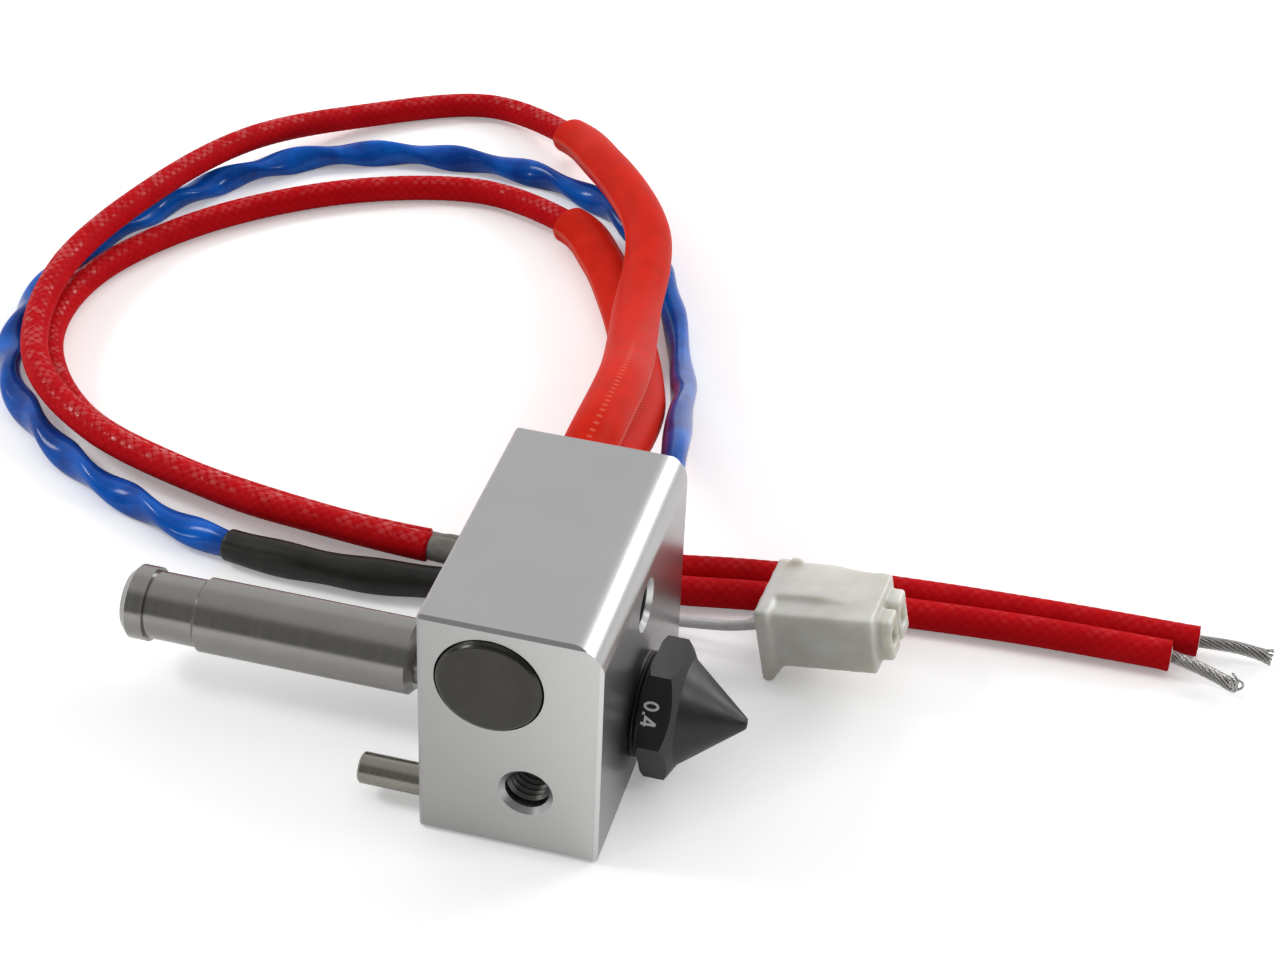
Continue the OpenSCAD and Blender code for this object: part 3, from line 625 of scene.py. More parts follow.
def braid_height(g):
    """Height of a plain braid over a cord's coordinates, 0 in its pits to 1 on its yarns."""
    s, a = g.cord()
    along = g.mul(s, BRAID_COUNT / BRAID_LAY)
    around = g.mul(a, float(BRAID_COUNT))
    u, v = g.add(around, along), g.sub(around, along)
    heights = []
    for mine, other, turn in ((u, v, 0.0), (v, u, math.pi)):
        yarn = g.math("ROUND", mine)
        across = g.sub(mine, yarn)
        wave = g.math("COSINE", g.add(g.mul(g.add(other, yarn), math.pi), turn))
        round_yarn = g.sub(1.0, g.mul(g.math("POWER", g.math("ABSOLUTE", across), 2.0), 4.0))
        crown = g.math("SQRT", g.math("MAXIMUM", 0.0, round_yarn))
        heights.append(g.add(g.mul(wave, 0.28), g.mul(crown, 0.5)))
    return g.add(g.math("MAXIMUM", *heights), 0.22)


def braided(name, pit, yarn, strength, depth):
    """Fine braid whose yarns glint on their crowns, less so on the tails beside the block; the crowns that face up are
    also painted a lighter pink, a painted highlight.
    """
    g = Graph(name)
    height = braid_height(g)
    place = g.place()
    cloud = g.noise(place, 0.5, 2.0, 0.5)
    patch = g.ramp(g.noise(place, 1.1, 2.0, 0.6), 0.42, 0.62, 0.1, 1.0)
    thread = g.noise(g.stretch(place, (9.0, 9.0, 9.0)), 1.0, 2.0, 0.6)
    color = g.mix(g.mul(height, g.ramp(cloud, 0.2, 0.8, 0.5, 1.0)), pit, yarn)
    _, _, up = g.split(g.normal())
    x, _, _ = g.split(place)
    glint_patches = g.mul(patch, g.ramp(x, -8.0, 2.0, 1.0, 0.3))
    crown = g.mul(g.ramp(height, 0.6, 0.92), g.mul(glint_patches, g.ramp(up, 0.6, 0.88)))
    # Painted highlight: the glinting crowns that face up are painted a lighter pink
    color = g.mix(g.mul(crown, 0.1), color, (0.74, 0.09, 0.08))
    g.set(color=color, roughness=g.ramp(crown, 0.0, 1.0, 0.5, 0.24),
          normal=g.bump(g.add(height, g.mul(thread, 0.08)), strength, depth),
          specular=g.ramp(crown, 0.0, 1.0, 0.02, 0.38))


DOT_PITCH = 0.62


def folded_sleeve():
    """Smooth silicone-coated sleeve, painted lighter along its fold lines as a painted highlight, with a row of
    lighter dots on top.
    """
    g = Graph("sleeve_red")
    run, around = g.cord()
    place = g.place()
    cloud = g.noise(place, 0.5, 3.0, 0.5)
    side = g.math("ABSOLUTE", g.math("COSINE", g.mul(around, TURN)))
    fold = g.ramp(side, 0.985, 0.999)
    # A row of lighter, slightly raised dots along the top, near the block
    dot_row = g.ramp(g.math("ABSOLUTE", g.sub(around, 0.275)), 0.022, 0.008)
    dot_row = g.mul(dot_row, g.ramp(run, 22.0, 13.0))
    dots = g.mul(dot_row, g.ramp(g.math("COSINE", g.mul(run, TURN / DOT_PITCH)), 0.3, 0.9))
    color = g.mix(g.ramp(cloud, 0.3, 0.7), (0.58, 0.014, 0.004), (0.66, 0.020, 0.008))
    # Painted highlight: the sleeve is painted lighter along its fold lines at both sides
    color = g.mix(g.mul(fold, 0.6), color, (0.62, 0.11, 0.08))
    color = g.mix(g.mul(dots, 0.5), color, (0.72, 0.20, 0.14))
    g.set(color=color, roughness=g.ramp(cloud, 0.3, 0.7, 0.42, 0.5), specular=0.03,
          normal=g.bump(g.add(cloud, g.mul(dots, 0.5)), 0.3, 0.03))


def smooth_plastic(name, dark, light, rough_low, rough_high, scale, depth, strength, **more):
    """Plastic or rubber with faint mottling and unevenness."""
    g = Graph(name)
    place = g.place()
    cloud = g.noise(place, scale, 3.0, 0.55)
    fine = g.noise(place, scale * 9, 2.0, 0.5)
    g.set(color=g.mix(g.ramp(cloud, 0.3, 0.7), dark, light),
          roughness=g.ramp(fine, 0.3, 0.7, rough_low, rough_high),
          normal=g.bump(g.add(cloud, g.mul(fine, 0.3)), strength, depth),
          **more)


block_alloy()
drawn_steel("heater_steel", (0.058, 0.056, 0.05), (0.066, 0.064, 0.058), 0.2, 0.27)
smooth_plastic("ceramic_fill", (0.78, 0.77, 0.72), (0.88, 0.87, 0.83), 0.8, 0.95, 3.0, 0.03, 0.4)
turned_steel("winding_wire", (0.5, 0.44, 0.33), (0.66, 0.6, 0.48), 0.3, 0.45, 2.0, 14.0)
smooth_plastic("ceramic_core", (0.84, 0.83, 0.79), (0.93, 0.92, 0.9), 0.55, 0.7, 2.5, 0.02, 0.3)
drawn_steel("pin_metal", (0.55, 0.53, 0.47), (0.7, 0.68, 0.62), 0.25, 0.38)
smooth_plastic("end_seal", (0.7, 0.68, 0.6), (0.82, 0.8, 0.73), 0.7, 0.9, 4.0, 0.03, 0.4)
turned_steel("screw_steel", (0.03, 0.03, 0.032), (0.06, 0.06, 0.06), 0.3, 0.45)
drawn_steel("can_steel", (0.56, 0.56, 0.55), (0.68, 0.68, 0.67), 0.25, 0.4)
smooth_plastic("potting", (0.6, 0.54, 0.4), (0.74, 0.68, 0.54), 0.35, 0.55, 3.0, 0.02, 0.3)
smooth_plastic("bead_glass", (0.5, 0.26, 0.1), (0.62, 0.36, 0.16), 0.05, 0.12, 4.0, 0.004, 0.2,
               coat=0.6)
turned_steel("pin_steel", (0.25, 0.24, 0.21), (0.34, 0.33, 0.29), 0.2, 0.3, 0.5, 9.0)
coated_steel()
turned_steel("tube_steel", (0.24, 0.235, 0.22), (0.3, 0.29, 0.275), 0.25, 0.36)
turned_steel("barrel_steel", (0.27, 0.262, 0.25), (0.32, 0.312, 0.298), 0.19, 0.26, 0.4, 5.0)
folded_sleeve()
braided("braid_red", (0.38, 0.002, 0.005), (0.57, 0.008, 0.012), 0.25, 0.03)
smooth_plastic("splice_grey", (0.155, 0.15, 0.135), (0.215, 0.208, 0.19), 0.45, 0.6, 1.6, 0.03,
               0.4, specular=0.2)
turned_steel("tinned_strand", (0.30, 0.295, 0.285), (0.5, 0.49, 0.475), 0.2, 0.34)
smooth_plastic("sleeve_blue", (0.0, 0.045, 0.29), (0.0, 0.125, 0.60), 0.13, 0.18, 0.3, 0.02,
               0.05, specular=0.2)
smooth_plastic("shrink_black", (0.011, 0.0105, 0.009), (0.018, 0.0165, 0.0145), 0.34, 0.46,
               1.0, 0.02, 0.3, specular=0.3)
smooth_plastic("wire_white", (0.62, 0.61, 0.60), (0.72, 0.71, 0.70), 0.2, 0.3, 1.0, 0.01, 0.2)
smooth_plastic("connector_nylon", (0.62, 0.61, 0.555), (0.73, 0.73, 0.69), 0.3, 0.36, 0.35, 0.01,
               0.1, subsurface=0.5, subsurface_scale=0.0015, subsurface_radius=(1.0, 0.9, 0.6))
drawn_steel("contact_tin", (0.55, 0.52, 0.44), (0.68, 0.64, 0.55), 0.25, 0.35)


def paint(made, slot):
    """Gives a piece its material and names its slot."""
    made.data.materials.clear()
    made.data.materials.append(MATERIALS[slot])
    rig.slot(made, slot)
    return made


def new_piece(name, slot, arrays, smooth=True, body="root"):
    """A piece from the arrays of a mesh, on a body and with its material."""
    made = bpy.data.objects.new(name, new_mesh(name, *arrays, smooth=smooth))
    bpy.context.scene.collection.objects.link(made)
    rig.ride(made, body)
    return paint(made, slot)


for part in frame["record"]["subparts"]:
    paint(frame["nodes"][part["node"]], part["material_slot"])


# ---------------------------------------------------------------- cords
def braid_relief(s, a):
    """Outward relief in mm of the same braid as braid_height draws."""
    around, along = a / TURN * BRAID_COUNT, s * BRAID_COUNT / BRAID_LAY
    u, v = around + along, around - along
    heights = []
    for mine, other, turn in ((u, v, 0.0), (v, u, math.pi)):
        yarn = np.round(mine)
        crown = np.sqrt(np.maximum(0, 1 - 4 * (mine - yarn) ** 2))
        heights.append(0.28 * np.cos(math.pi * (other + yarn) + turn) + 0.5 * crown)
    return (np.maximum(*heights) - 0.5) * BRAID_DEPTH


# Diameter of the insulation inside the braid; sides of a lead and distance of its rings
CORE_D = 1.3
LEAD_SIDES, LEAD_RING = 48, 0.12
# Distance of the rings that the sleeve hides, and how far before its end they stop
HIDDEN_RING, HIDDEN_SHORT = 1.2, 4
# How much the neck at the splice, the hidden run and the braid's mean lie under the lead's
# radius; the length over which the cut end flares, by how much and how unevenly
NECK_DEEP, HIDDEN_DEEP, BRAID_DEEP = 0.25, 0.05, 0.03
FLARE_LENGTH, FLARE, FLARE_WAVE = 1.0, 0.04, 0.03


def make_lead(name, points, sleeve_end, splice, nodes):
    """One lead: a plain run inside its sleeve, then the braid, with a neck at the splice and
    a flared, open cut end."""
    route = Route(points)
    end = route.length
    hidden_to = route.marks[sleeve_end] - HIDDEN_SHORT
    neck = (route.marks[splice[0]], route.marks[splice[1]])
    # The cut end's rings, from its rim inwards
    mouth = [(end, LEAD_D / 2 - 0.01), (end - 0.01, LEAD_D / 2 - 0.14), (end - 0.05, CORE_D / 2),
             (end - 0.35, CORE_D / 2 - 0.03)]
    runs = np.concatenate([np.arange(0, hidden_to, HIDDEN_RING),
                           np.arange(hidden_to, end - 0.05, LEAD_RING),
                           [s for s, _ in mouth]])
    rims = {len(runs) - len(mouth) + k: r for k, (_, r) in enumerate(mouth)}
    radius = LEAD_D / 2

    def shape(i, s, a):
        woven = radius - BRAID_DEEP + braid_relief(s, a)
        flare = np.clip((s - end) / FLARE_LENGTH + 1, 0, 1) ** 2
        r = woven + flare * (FLARE + FLARE_WAVE * np.sin(5 * a + 1))
        r = np.where((s > neck[0]) & (s < neck[1]), radius - NECK_DEEP, r)
        r = np.where(s < hidden_to, radius - HIDDEN_DEEP, r)
        for ring, rim in rims.items():
            r = np.where(i == ring, rim + 0 * a, r)
        return r * np.cos(a), r * np.sin(a)

    made = new_piece(name, "braid_red", tube_arrays(route, runs, LEAD_SIDES, shape))
    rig.replaces(made, *nodes)
    return made, route


# A sleeve's flatness at the block, how much flatter it gets, from how far before its end and
# over what length; the height of its fold lines
SLEEVE_FLAT, SLEEVE_FLATTER, FLATTER_FROM, FLATTER_OVER = 0.05, 0.09, 7, 6
SLEEVE_FOLD = 0.07


def make_sleeve(name, route, end, node):
    """Sleeve pressed a little flat, with a fold line along each side and a square cut end."""
    cut_at = route.marks[end]

    def form(radii, s, a):
        outside = radii > LEAD_D / 2 + 0.3
        near_end = np.clip((s - cut_at + FLATTER_FROM) / FLATTER_OVER, 0, 1)
        flat = SLEEVE_FLAT + SLEEVE_FLATTER * near_end
        fold = SLEEVE_FOLD * np.exp(-((np.cos(a) ** 2 - 1) / 0.02) ** 2) * outside
        return (radii * (1 + 0.5 * flat) + fold) * np.cos(a), radii * (1 - flat) * np.sin(a)

    sleeve = hollow_tube(route, 0.02, cut_at, SLEEVE_D / 2, SLEEVE_BORE_D / 2, 0.5, 64, 0.05, form)
    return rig.replaces(new_piece(name, "sleeve_red", sleeve), node)


def make_plain_tube(name, route, start, end, radius, slot, node, pitch=0.4, sides=24, lump=None,
                    edge=0.12):
    """Closed tube with rounded ends; lump(s, a) adds to its radius in mm."""
    body = np.linspace(start + edge, end - edge, max(2, int((end - start) / pitch)))
    bend = np.radians([*RIM_BEND, 88])
    runs = np.concatenate([(start + edge - edge * np.sin(bend))[::-1], body,
                           end - edge + edge * np.sin(bend)])
    inset = np.concatenate([(edge * (1 - np.cos(bend)))[::-1], np.zeros(len(body)),
                            edge * (1 - np.cos(bend))])

    def shape(i, s, a):
        r = radius - inset[:, None] + (lump(s, a) if lump else 0 * a)
        return r * np.cos(a), r * np.sin(a)

    made = new_piece(name, slot, tube_arrays(route, runs, sides, shape))
    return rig.replaces(made, node) if node else made


lead_a, route_a = make_lead("heater_lead_a_braid", LEAD_A, SLEEVE_A_END, SPLICE_A,
                            ("heater_lead_a", "lead_tail_a"))
lead_b, route_b = make_lead("heater_lead_b_braid", LEAD_B, SLEEVE_B_END, SPLICE_B,
                            ("heater_lead_b", "lead_tail_b"))
sleeve_a = make_sleeve("heat_sleeve_a", route_a, SLEEVE_A_END, "lead_sleeve_a")
sleeve_b = make_sleeve("heat_sleeve_b", route_b, SLEEVE_B_END, "lead_sleeve_b")


def make_splice(name, route, span, node):
    """Grey splice between the two runs of braid, a little uneven."""
    def lump(s, a):
        return 0.03 * np.sin(s * 2.1) * np.cos(a * 2 + s) - 0.04 * (np.cos(s * 1.4) > 0.8)

    return make_plain_tube(name, route, route.marks[span[0]] + 0.02, route.marks[span[1]] - 0.02,
                           SPLICE_D / 2, "splice_grey", node, 0.25, 28, lump)


splice_a = make_splice("grey_splice_a", route_a, SPLICE_A, "lead_splice_a")
splice_b = make_splice("grey_splice_b", route_b, SPLICE_B, "lead_splice_b")

# Radius of each layer of wires and how many it has; a wire's radius, sides and distance of
# rings; the length of one turn, and the share of the length after which the wires part
STRAND_LAYERS = ((0.0, 1), (0.155, 6), (0.31, 12))
STRAND_THIN, STRAND_SIDES, STRAND_RING = 0.079, 7, 0.12
STRAND_LAY, STRANDS_PART = 6.0, 0.7


def make_strands(name, points, spread, loops, node):
    """Nineteen fine bare wires twisted together, which part a little at the tip; the last
    few, loops of them, bend over."""
    centre = Route(points)
    parts = []
    places = [(out, k * TURN / count + out * 4) for out, count in STRAND_LAYERS
              for k in range(count)]
    for number, (out, start) in enumerate(places):
        wide = random.uniform(0.2, 1.0) * spread * (out / STRAND_LAYERS[-1][0])
        s = np.linspace(-0.3, centre.length - random.uniform(0.0, 0.6), 20)
        place, _, side, up = centre.at(s)
        turn = start + s / STRAND_LAY * TURN
        apart = np.clip((s / centre.length - STRANDS_PART) / (1 - STRANDS_PART), 0, 1) ** 2
        ring = out + apart * wide
        line = (place + side * (ring * np.cos(turn))[:, None]
                + up * (ring * np.sin(turn))[:, None])
        line[:, 2] = np.maximum(line[:, 2], STRAND_THIN + 0.03)
        if number >= len(places) - loops:
            size = random.uniform(0.22, 0.4)
            way = line[-1] - line[-2]
            way /= np.linalg.norm(way)
            bend = np.radians(np.arange(20, 230, 30))[:, None]
            line = np.vstack([line, line[-1] + size * (
                way * np.sin(bend) + np.array([0, 0, 1.0]) * (1 - np.cos(bend)))])
        wire = Route(line)
        count = max(24, int(wire.length / STRAND_RING))
        parts.append(tube_arrays(wire, np.linspace(0, wire.length, count), STRAND_SIDES,
                                 round_shape(STRAND_THIN)))
    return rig.replaces(new_piece(name, "tinned_strand", join_arrays(parts)), node)


strands_a = make_strands("bare_strands_a", STRANDS_A, 0.15, 7, "lead_strands_a")
strands_b = make_strands("bare_strands_b", STRANDS_B, 0.25, 0, "lead_strands_b")


def make_core(name, route):
    """White insulation that shows in a lead's cut end."""
    return make_plain_tube(name, route, route.length - 1.0, route.length + 0.06,
                           CORE_D / 2 - 0.04, "wire_white", None)


core_a = make_core("lead_insulation_a", route_a)
core_b = make_core("lead_insulation_b", route_b)

# Length of one turn, length from the block over which the pair turns half as fast, and how
# far the sleeve ends inside the shrink tube before the route does
SENSOR_TWIST, SENSOR_LOOSE, SENSOR_SHORT = 12.5, 36.0, 0.6
# Half axes of the sleeve's section over the pair, and its radius where it is round
SENSOR_WIDE, SENSOR_NARROW, SENSOR_ROUND = 1.03, 0.72, 0.82
# How far before its end it is round, and over what length it gets so; the share of the twist
# that shows where the pair is loose, and over what length it grows after that
ROUND_FROM, ROUND_OVER = 17.6, 8
LOOSE_SHARE, LOOSE_OVER = 0.45, 10


def make_sensor_lead():
    """Thin sleeve shrunk over a twisted pair, so its outline bulges as the pair turns."""
    route = Route(SENSOR)
    end = route.length - SENSOR_SHORT
    runs = np.concatenate([np.arange(0, end, 0.3), [end]])

    def shape(i, s, a):
        loose = np.minimum(s, SENSOR_LOOSE)
        turn = (loose / 2 + s - loose) / SENSOR_TWIST * TURN
        firm = np.clip((s - SENSOR_LOOSE) / LOOSE_OVER, 0, 1)
        fade = (np.clip((route.length - s - ROUND_FROM) / ROUND_OVER, 0, 1)
                * (LOOSE_SHARE + (1 - LOOSE_SHARE) * firm))
        wide = SENSOR_ROUND + (SENSOR_WIDE - SENSOR_ROUND) * fade
        narrow = SENSOR_ROUND + (SENSOR_NARROW - SENSOR_ROUND) * fade
        local = a - turn
        x, y = wide * np.cos(local), narrow * np.sin(local)
        return x * np.cos(turn) - y * np.sin(turn), x * np.sin(turn) + y * np.cos(turn)

    vertices, faces, uvs = tube_arrays(route, runs, 28, shape)
    vertices[:, 2] = np.maximum(vertices[:, 2], 0.01 * MM)
    made = new_piece("sensor_lead", "sleeve_blue", (vertices, faces, uvs))
    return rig.replaces(made, "sensor_sleeve"), route


sensor_lead, route_sensor = make_sensor_lead()


def shrink_lump(s, a):
    """Unevenness of the shrink tube over its splice."""
    return 0.07 * np.sin(s * 0.55 + 1) * np.cos(a * 2 - s * 0.3) + 0.03 * np.sin(s * 1.1)


shrink = make_plain_tube("splice_shrink_tube", route_sensor, route_sensor.marks[SHRINK_FROM],
                         route_sensor.length, SHRINK_D / 2 - 0.04, "shrink_black",
                         "splice_shrink", 0.3, 28, shrink_lump, 0.2)


def make_wire(name, points, node):
    """Thin white wire from the shrink tube to the connector."""
    route = Route(points)
    return make_plain_tube(name, route, 0, route.length, WIRE_D / 2, "wire_white", node,
                           0.3, 16, None, 0.05)


wire_a = make_wire("white_wire_a", WIRE_A, "sensor_wire_a")
wire_b = make_wire("white_wire_b", WIRE_B, "sensor_wire_b")


def declare(made, route, diameter, far_end, with_pieces):
    """States a cord's facts."""
    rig.cord(made, exit=tuple(route.points[0] * MM), length=round(route.length * MM, 4),
            diameter=diameter * MM, far_end=far_end, stiffness="limp", lay="loose",
            path=route.path(), with_pieces=with_pieces)


declare(lead_a, route_a, LEAD_D, "bare", [sleeve_a, splice_a, strands_a, core_a])
declare(lead_b, route_b, LEAD_D, "bare", [sleeve_b, splice_b, strands_b, core_b])
declare(sensor_lead, route_sensor, SENSOR_D, "connector",
        [shrink, wire_a, wire_b, "connector_housing", "crimp_contacts"])


# ---------------------------------------------------------------- small details
def soften(node, grain, rounds):
    """Gives a CAD node the soft edges of a moulded piece, with modifiers alone."""
    made = frame["nodes"][node]
    weld = made.modifiers.new("weld", "WELD")
    weld.merge_threshold = 0.0005 * MM
    remesh = made.modifiers.new("grain", "REMESH")
    remesh.mode = "VOXEL"
    remesh.voxel_size = grain * MM
    remesh.use_smooth_shade = True
    smooth = made.modifiers.new("smooth", "SMOOTH")
    smooth.factor = 0.5
    smooth.iterations = rounds


soften("connector_housing", 0.09, 36)


def bar_faces(count, closed=False):
    """Faces of a four-sided bar of count rings, joined to a loop or with capped ends."""
    pairs = [(k * 4, (k + 1) % count * 4) for k in range(count if closed else count - 1)]
    faces = [(a + j, a + (j + 1) % 4, b + (j + 1) % 4, b + j) for a, b in pairs for j in range(4)]
    return faces if closed else faces + [(3, 2, 1, 0), tuple(range(count * 4 - 4, count * 4))]


# Steps in one turn and steps over which an end fades out; pitch, half widths of the ridge's
# foot and crest as shares of it, and how deep the foot is buried
THREAD_STEPS, THREAD_FADE = 40, 12
THREAD_PITCH, THREAD_FOOT, THREAD_CREST, THREAD_BURIED = 0.5, 0.47, 0.06, 0.03


def make_thread(name, start, way, length, root, crest, slot, body="root"):
    """Thread ridge round an axis, closed and fading out at both ends. It stands from radius
    root to radius crest; start and way are in mm."""
    start, way = np.array(start, float), np.array(way, float)
    side = np.cross(way, [0, 0, 1.0])
    up = np.cross(side, way)
    steps = int(length / THREAD_PITCH * THREAD_STEPS)
    foot = root - math.copysign(THREAD_BURIED, crest - root)
    vertices = []
    for k in range(steps + 1):
        angle = k / THREAD_STEPS * TURN
        fade = min(1.0, k / THREAD_FADE, (steps - k) / THREAD_FADE)
        out = side * math.cos(angle) + up * math.sin(angle)
        middle = start + way * ((length - THREAD_PITCH) * k / steps + THREAD_PITCH / 2)
        tip = root + (crest - root) * fade
        for r, along in ((foot, -THREAD_FOOT), (tip, -THREAD_CREST), (tip, THREAD_CREST),
                         (foot, THREAD_FOOT)):
            vertices.append((middle + out * r + way * THREAD_PITCH * along) * MM)
    new_piece(name, slot, (vertices, bar_faces(steps + 1)), smooth=False, body=body)


make_thread("front_hole_thread", (FRONT_HOLE_X, -8.55, NOZZLE_Z), (0, 1, 0), 3.4, 1.26, 1.05,
            "block_alloy")
make_thread("set_screw_thread", (4.7, 0, HEATER_Z), (-1, 0, 0), 1.0, 1.26, 1.05, "block_alloy")
make_thread("nozzle_thread", (4.75, 0, NOZZLE_Z), (1, 0, 0), 1.05, 2.94, 3.06, "nozzle_steel",
            "nozzle")


def surface(node):
    """Search tree and vertices of a CAD node, as it stands."""
    made = frame["nodes"][node]
    vertices = [made.matrix_world @ v.co for v in made.data.vertices]
    faces = [tuple(p.vertices) for p in made.data.polygons]
    return BVHTree.FromPolygons(vertices, faces), vertices


# Height and width of a digit, and width of its strokes and how far they rise, in mm
DIGIT_H, DIGIT_W, DIGIT_STROKE, DIGIT_RISE = 0.86, 0.5, 0.14, 0.012


def digit_part(path, closed=False, rise=DIGIT_RISE):
    """Vertices and faces of a flat raised stroke along a path of (right, up) places."""
    path = [np.array(p, float) for p in path]
    count = len(path)
    rings = []
    for k, p in enumerate(path):
        legs = [p - path[k - 1]] if closed or k > 0 else []
        legs += [path[(k + 1) % count] - p] if closed or k + 1 < count else []
        ways = [leg / np.linalg.norm(leg) for leg in legs]
        way = sum(ways) / np.linalg.norm(sum(ways))
        wide = DIGIT_STROKE / 2 / max(0.5, way.dot(ways[0]))
        left = np.array([-way[1], way[0]]) * wide
        rings.append([(*(p + left), rise), (*(p - left), rise), (*(p - left), -0.01),
                      (*(p + left), -0.01)])
    return [v for ring in rings for v in ring], bar_faces(count, closed), []


def make_size_number():
    """The nozzle's size, 0.4, on the flat of the hexagon that faces the camera. It reads
    downwards, with the tops of its digits towards the tip."""
    tree, vertices = surface("nozzle")
    zero, normal = place_on(tree, POINTS["size_number_0"], vertices)
    four, _ = place_on(tree, POINTS["size_number_4"], vertices)
    up = Vector((1, 0, 0))
    right = up.cross(normal).normalized()
    apart = (four - zero).dot(right) / MM
    shift = (four - zero).dot(up) / MM
    w, h = DIGIT_W / 2, DIGIT_H / 2
    # The zero's middle line lies a little inside the digit's box
    round_path = [(w * math.cos(t) * 0.8, h * math.sin(t) * 0.86)
                  for t in np.linspace(0, TURN, 28, endpoint=False)]
    four_at = np.array([apart, shift])
    dot_at = four_at / 2 + (0, DIGIT_STROKE / 2 - h)
    strokes = [digit_part(round_path, closed=True),
               digit_part([four_at + (0.1, h), four_at + (-w, -0.2), four_at + (w, -0.2)]),
               digit_part([four_at + (0.12, h), four_at + (0.12, -h)], rise=DIGIT_RISE + 0.003),
               digit_part([dot_at - (DIGIT_STROKE / 2, 0), dot_at + (DIGIT_STROKE / 2, 0)])]
    places, faces, _ = join_arrays(strokes)
    points = [zero + (right * r + up * u + normal * n) * MM for r, u, n in places]
    new_piece("size_number", "wire_white", (points, faces), smooth=False, body="nozzle")
    return zero, four


zero_place, four_place = make_size_number()


# ---------------------------------------------------------------- floor and light
# Light that the white floor adds for the camera and in reflections; half its side, and how
# far it lies under the part
FLOOR_LIFT, MIRRORED_LIFT = 0.25, 0.1
FLOOR_HALF, FLOOR_GAP = 1.2, 0.02 * MM


def make_floor():
    """Pale floor just under the part, white to the camera and in reflections, and a little
    darker where it lights the part."""
    h = FLOOR_HALF
    mesh = new_mesh("floor", [(-h, -h, 0), (h, -h, 0), (h, h, 0), (-h, h, 0)], [(0, 1, 2, 3)])
    made = bpy.data.objects.new("floor", mesh)
    bpy.context.scene.collection.objects.link(made)
    made.location.z = -FLOOR_GAP
    g = Graph("floor_paper")
    light = g.node("ShaderNodeLightPath")
    cloud = g.noise(g.place(), 0.02, 2.0, 0.5)
    seen = g.mix(cloud, (0.98, 0.98, 0.98), (1.0, 1.0, 1.0))
    bounced = g.mix(cloud, (0.78, 0.775, 0.765), (0.82, 0.815, 0.805))
    looked_at = g.math("MAXIMUM", light.outputs["Is Camera Ray"], light.outputs["Is Glossy Ray"])
    g.set(color=g.mix(looked_at, bounced, seen), roughness=0.9, specular=0.0)
    g.set(lift=g.add(g.mul(light.outputs["Is Camera Ray"], FLOOR_LIFT),
                     g.mul(light.outputs["Is Glossy Ray"], MIRRORED_LIFT)))
    made.data.materials.append(g.material)
    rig.stage(made)


make_floor()


# Level of the room by height: dark at the photographer's side, pale behind the table
FRONT_LEVELS = ((0.0, 0.2), (1.0, 0.62), (0.3, 0.22), (0.78, 0.25), (0.9, 0.58))
BACK_LEVELS = ((0.0, 0.8), (1.0, 0.62), (0.3, 0.9), (0.67, 0.93), (0.85, 0.68))


def level_ramp(g, height, levels):
    """Grey by height; the first two levels are the ramp's own ends."""
    ramp = g.node("ShaderNodeValToRGB", [(0, height)])
    stops = ramp.color_ramp.elements
    for k, (place, level) in enumerate(levels):
        stop = stops[k] if k < 2 else stops.new(place)
        stop.position = place
        stop.color = (level, level, level, 1)
    return ramp.outputs[0]


def make_world():
    """The room that the metal mirrors; the camera itself sees white."""
    world = bpy.data.worlds.new("studio")
    bpy.context.scene.world = world
    g = Graph("studio", world)
    x, y, z = g.split(g.node("ShaderNodeTexCoord").outputs["Generated"])
    back = g.ramp(g.math("MULTIPLY_ADD", x, -0.45, y), -0.2, 0.25)
    room = g.mix(back, level_ramp(g, z, FRONT_LEVELS), level_ramp(g, z, BACK_LEVELS))
    seen = g.node("ShaderNodeLightPath").outputs["Is Camera Ray"]
    g.feed(g.shader.inputs["Color"], g.mix(seen, room, (1.0, 1.0, 1.0)))


make_world()


def softbox(name, azimuth, elevation, distance, width, height, watts):
    """Rectangular soft light that faces the part, in degrees, metres and watts; azimuth 0 is on
    the camera's side (-Y) and 90 at +X."""
    data = bpy.data.lights.new(name, "AREA")
    data.shape = "RECTANGLE"
    data.size, data.size_y = width, height
    data.energy = watts
    made = bpy.data.objects.new(name, data)
    bpy.context.scene.collection.objects.link(made)
    a, e = math.radians(azimuth), math.radians(elevation)
    way = Vector((math.sin(a) * math.cos(e), -math.cos(a) * math.cos(e), math.sin(e)))
    made.location = way * distance
    made.rotation_euler = way.to_track_quat("Z", "Y").to_euler()


softbox("light_left", -88, 40, 0.8, 0.2, 0.2, 1.8)
softbox("light_back_right", 147, 27, 0.7, 0.4, 0.2, 1.6)
softbox("light_right", 99, 29, 0.8, 0.14, 0.14, 1.0)
softbox("light_front_left", -44, 18, 0.8, 0.08, 0.08, 0.5)


# ---------------------------------------------------------------- report on points and size
def shown_vertices(objects):
    """Places of finished vertices in the part's frame, with modifiers applied."""
    graph = bpy.context.evaluated_depsgraph_get()
    places = []
    for made in objects:
        done = made.evaluated_get(graph)
        mesh = done.to_mesh()
        data = np.empty(len(mesh.vertices) * 3, np.float32)
        mesh.vertices.foreach_get("co", data)
        matrix = np.array(done.matrix_world)
        places.append(data.reshape(-1, 3) @ matrix[:3, :3].T + matrix[:3, 3])
        done.to_mesh_clear()
    return np.vstack(places)


def end_middle(made):
    """Middle of a CAD node's end on the -X side."""
    places = shown_vertices([made])
    return places[places[:, 0] < places[:, 0].min() + 0.01 * MM].mean(axis=0)


def corner_nearest(shown, corner):
    """Image place of the shown vertex nearest to a place given in mm."""
    away = np.linalg.norm(shown - np.array(corner) * MM, axis=1)
    return image_places(shown[[away.argmin()]])[0]


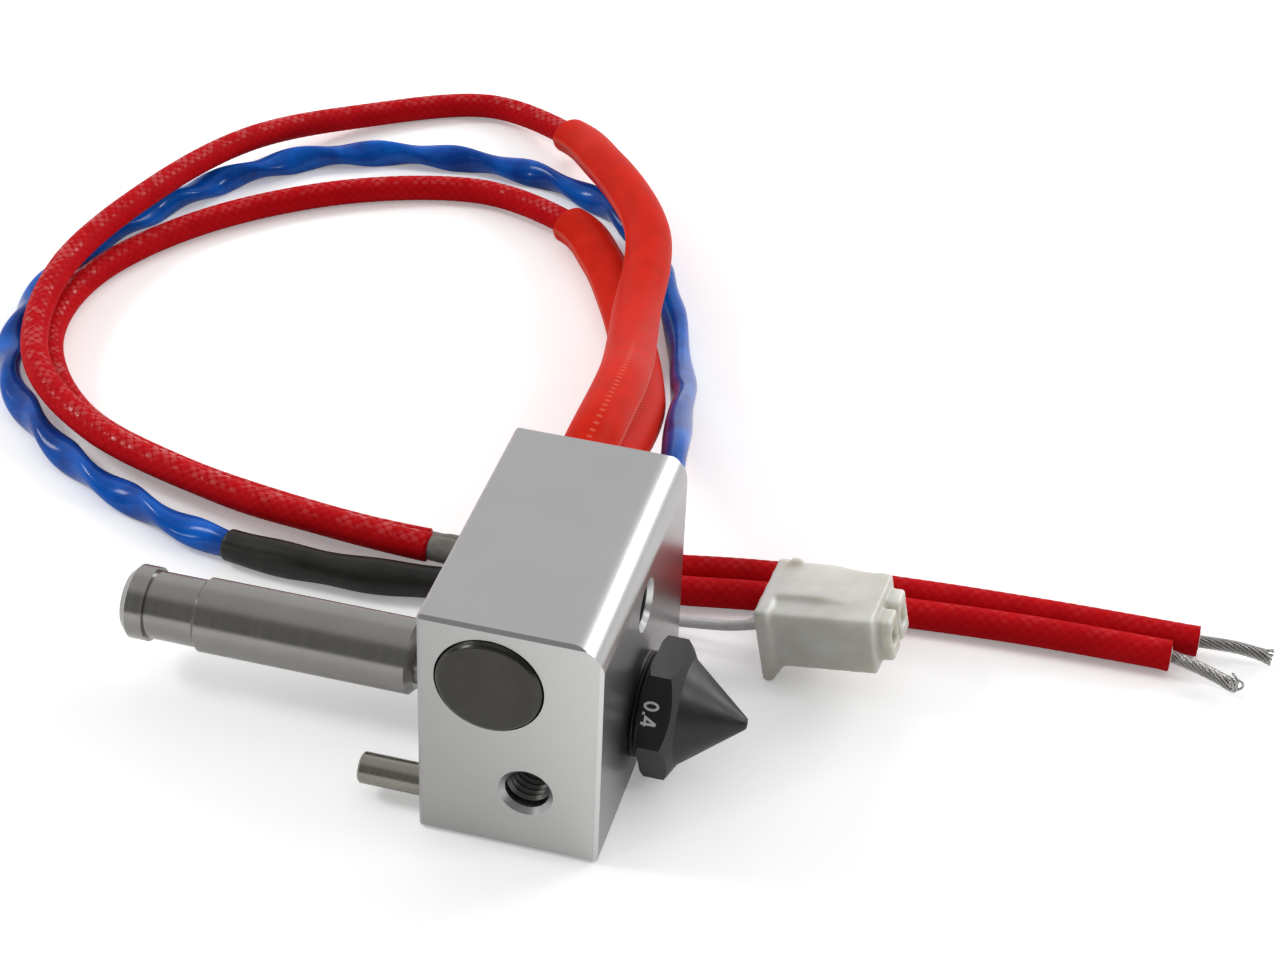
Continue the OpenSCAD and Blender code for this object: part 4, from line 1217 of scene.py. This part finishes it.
# The block's half width, half depth and height, the heater's front, the nozzle's tip and the
# ends of the connector's flange and body along it, in mm as in the part's source
BLOCK_X, BLOCK_Y, BLOCK_H = 5.1, 9, 15
HEATER_FRONT_Y, TIP_X = -9.3, 12
FLANGE_END_U, BODY_END_U = 0.9, 7.1


def write_points():
    """Offsets of the part's places from the named image points, in pixels."""
    nodes = frame["nodes"]
    rigid = ("heater_block", "heater_sheath", "nozzle", "heat_break_barrel", "heat_break_tube",
             "locating_pin")
    at = image_places(shown_vertices([nodes[n] for n in rigid]))
    block = shown_vertices([nodes["heater_block"]])
    housing = shown_vertices([nodes["connector_housing"]])
    middle = image_places([Vector((HEATER_X, HEATER_FRONT_Y, HEATER_Z)) * MM,
                           Vector((FRONT_HOLE_X, -BLOCK_Y, NOZZLE_Z)) * MM,
                           zero_place, four_place])
    found = {
        "left_edge": (at[:, 0].min(), None),
        "right_edge": (at[:, 0].max(), None),
        "top_edge": (None, at[:, 1].min()),
        "bottom_edge": (None, at[:, 1].max()),
        "block_front_top_left": corner_nearest(block, (-BLOCK_X, -BLOCK_Y, BLOCK_H)),
        "block_front_bottom_left": corner_nearest(block, (-BLOCK_X, -BLOCK_Y, 0)),
        "block_front_bottom_right": corner_nearest(block, (BLOCK_X, -BLOCK_Y, 0)),
        "block_back_top_left": corner_nearest(block, (-BLOCK_X, BLOCK_Y, BLOCK_H)),
        "heater_end": middle[0],
        "tapped_hole": middle[1],
        "nozzle_tip": corner_nearest(shown_vertices([nodes["nozzle"]]), (TIP_X, 0, NOZZLE_Z)),
        "pin_end": image_places([end_middle(nodes["locating_pin"])])[0],
        "size_number_0": middle[2],
        "size_number_4": middle[3],
        "connector_front_left": corner_nearest(
            housing, in_housing(FLANGE_END_U, 0, SKIRT_H + HOUSING_H)),
        "connector_front_right": corner_nearest(housing, in_housing(BODY_END_U, 0, SKIRT_H)),
    }
    offsets = {}
    for name, wanted in POINTS.items():
        offsets[name] = [None if w is None or g is None else round(float(g - w), 2)
                         for w, g in zip(wanted, found[name])]
    with open("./points.json", "w") as f:
        json.dump(offsets, f, indent=1)


try:
    write_points()
except (KeyError, ValueError, IndexError, RuntimeError) as fault:
    print("points not written:", fault)
low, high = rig.bounds()
with open("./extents.json", "w") as f:
    json.dump({"cad": [list(cad_box[0]), list(cad_box[1])], "visual": [list(low), list(high)]}, f)
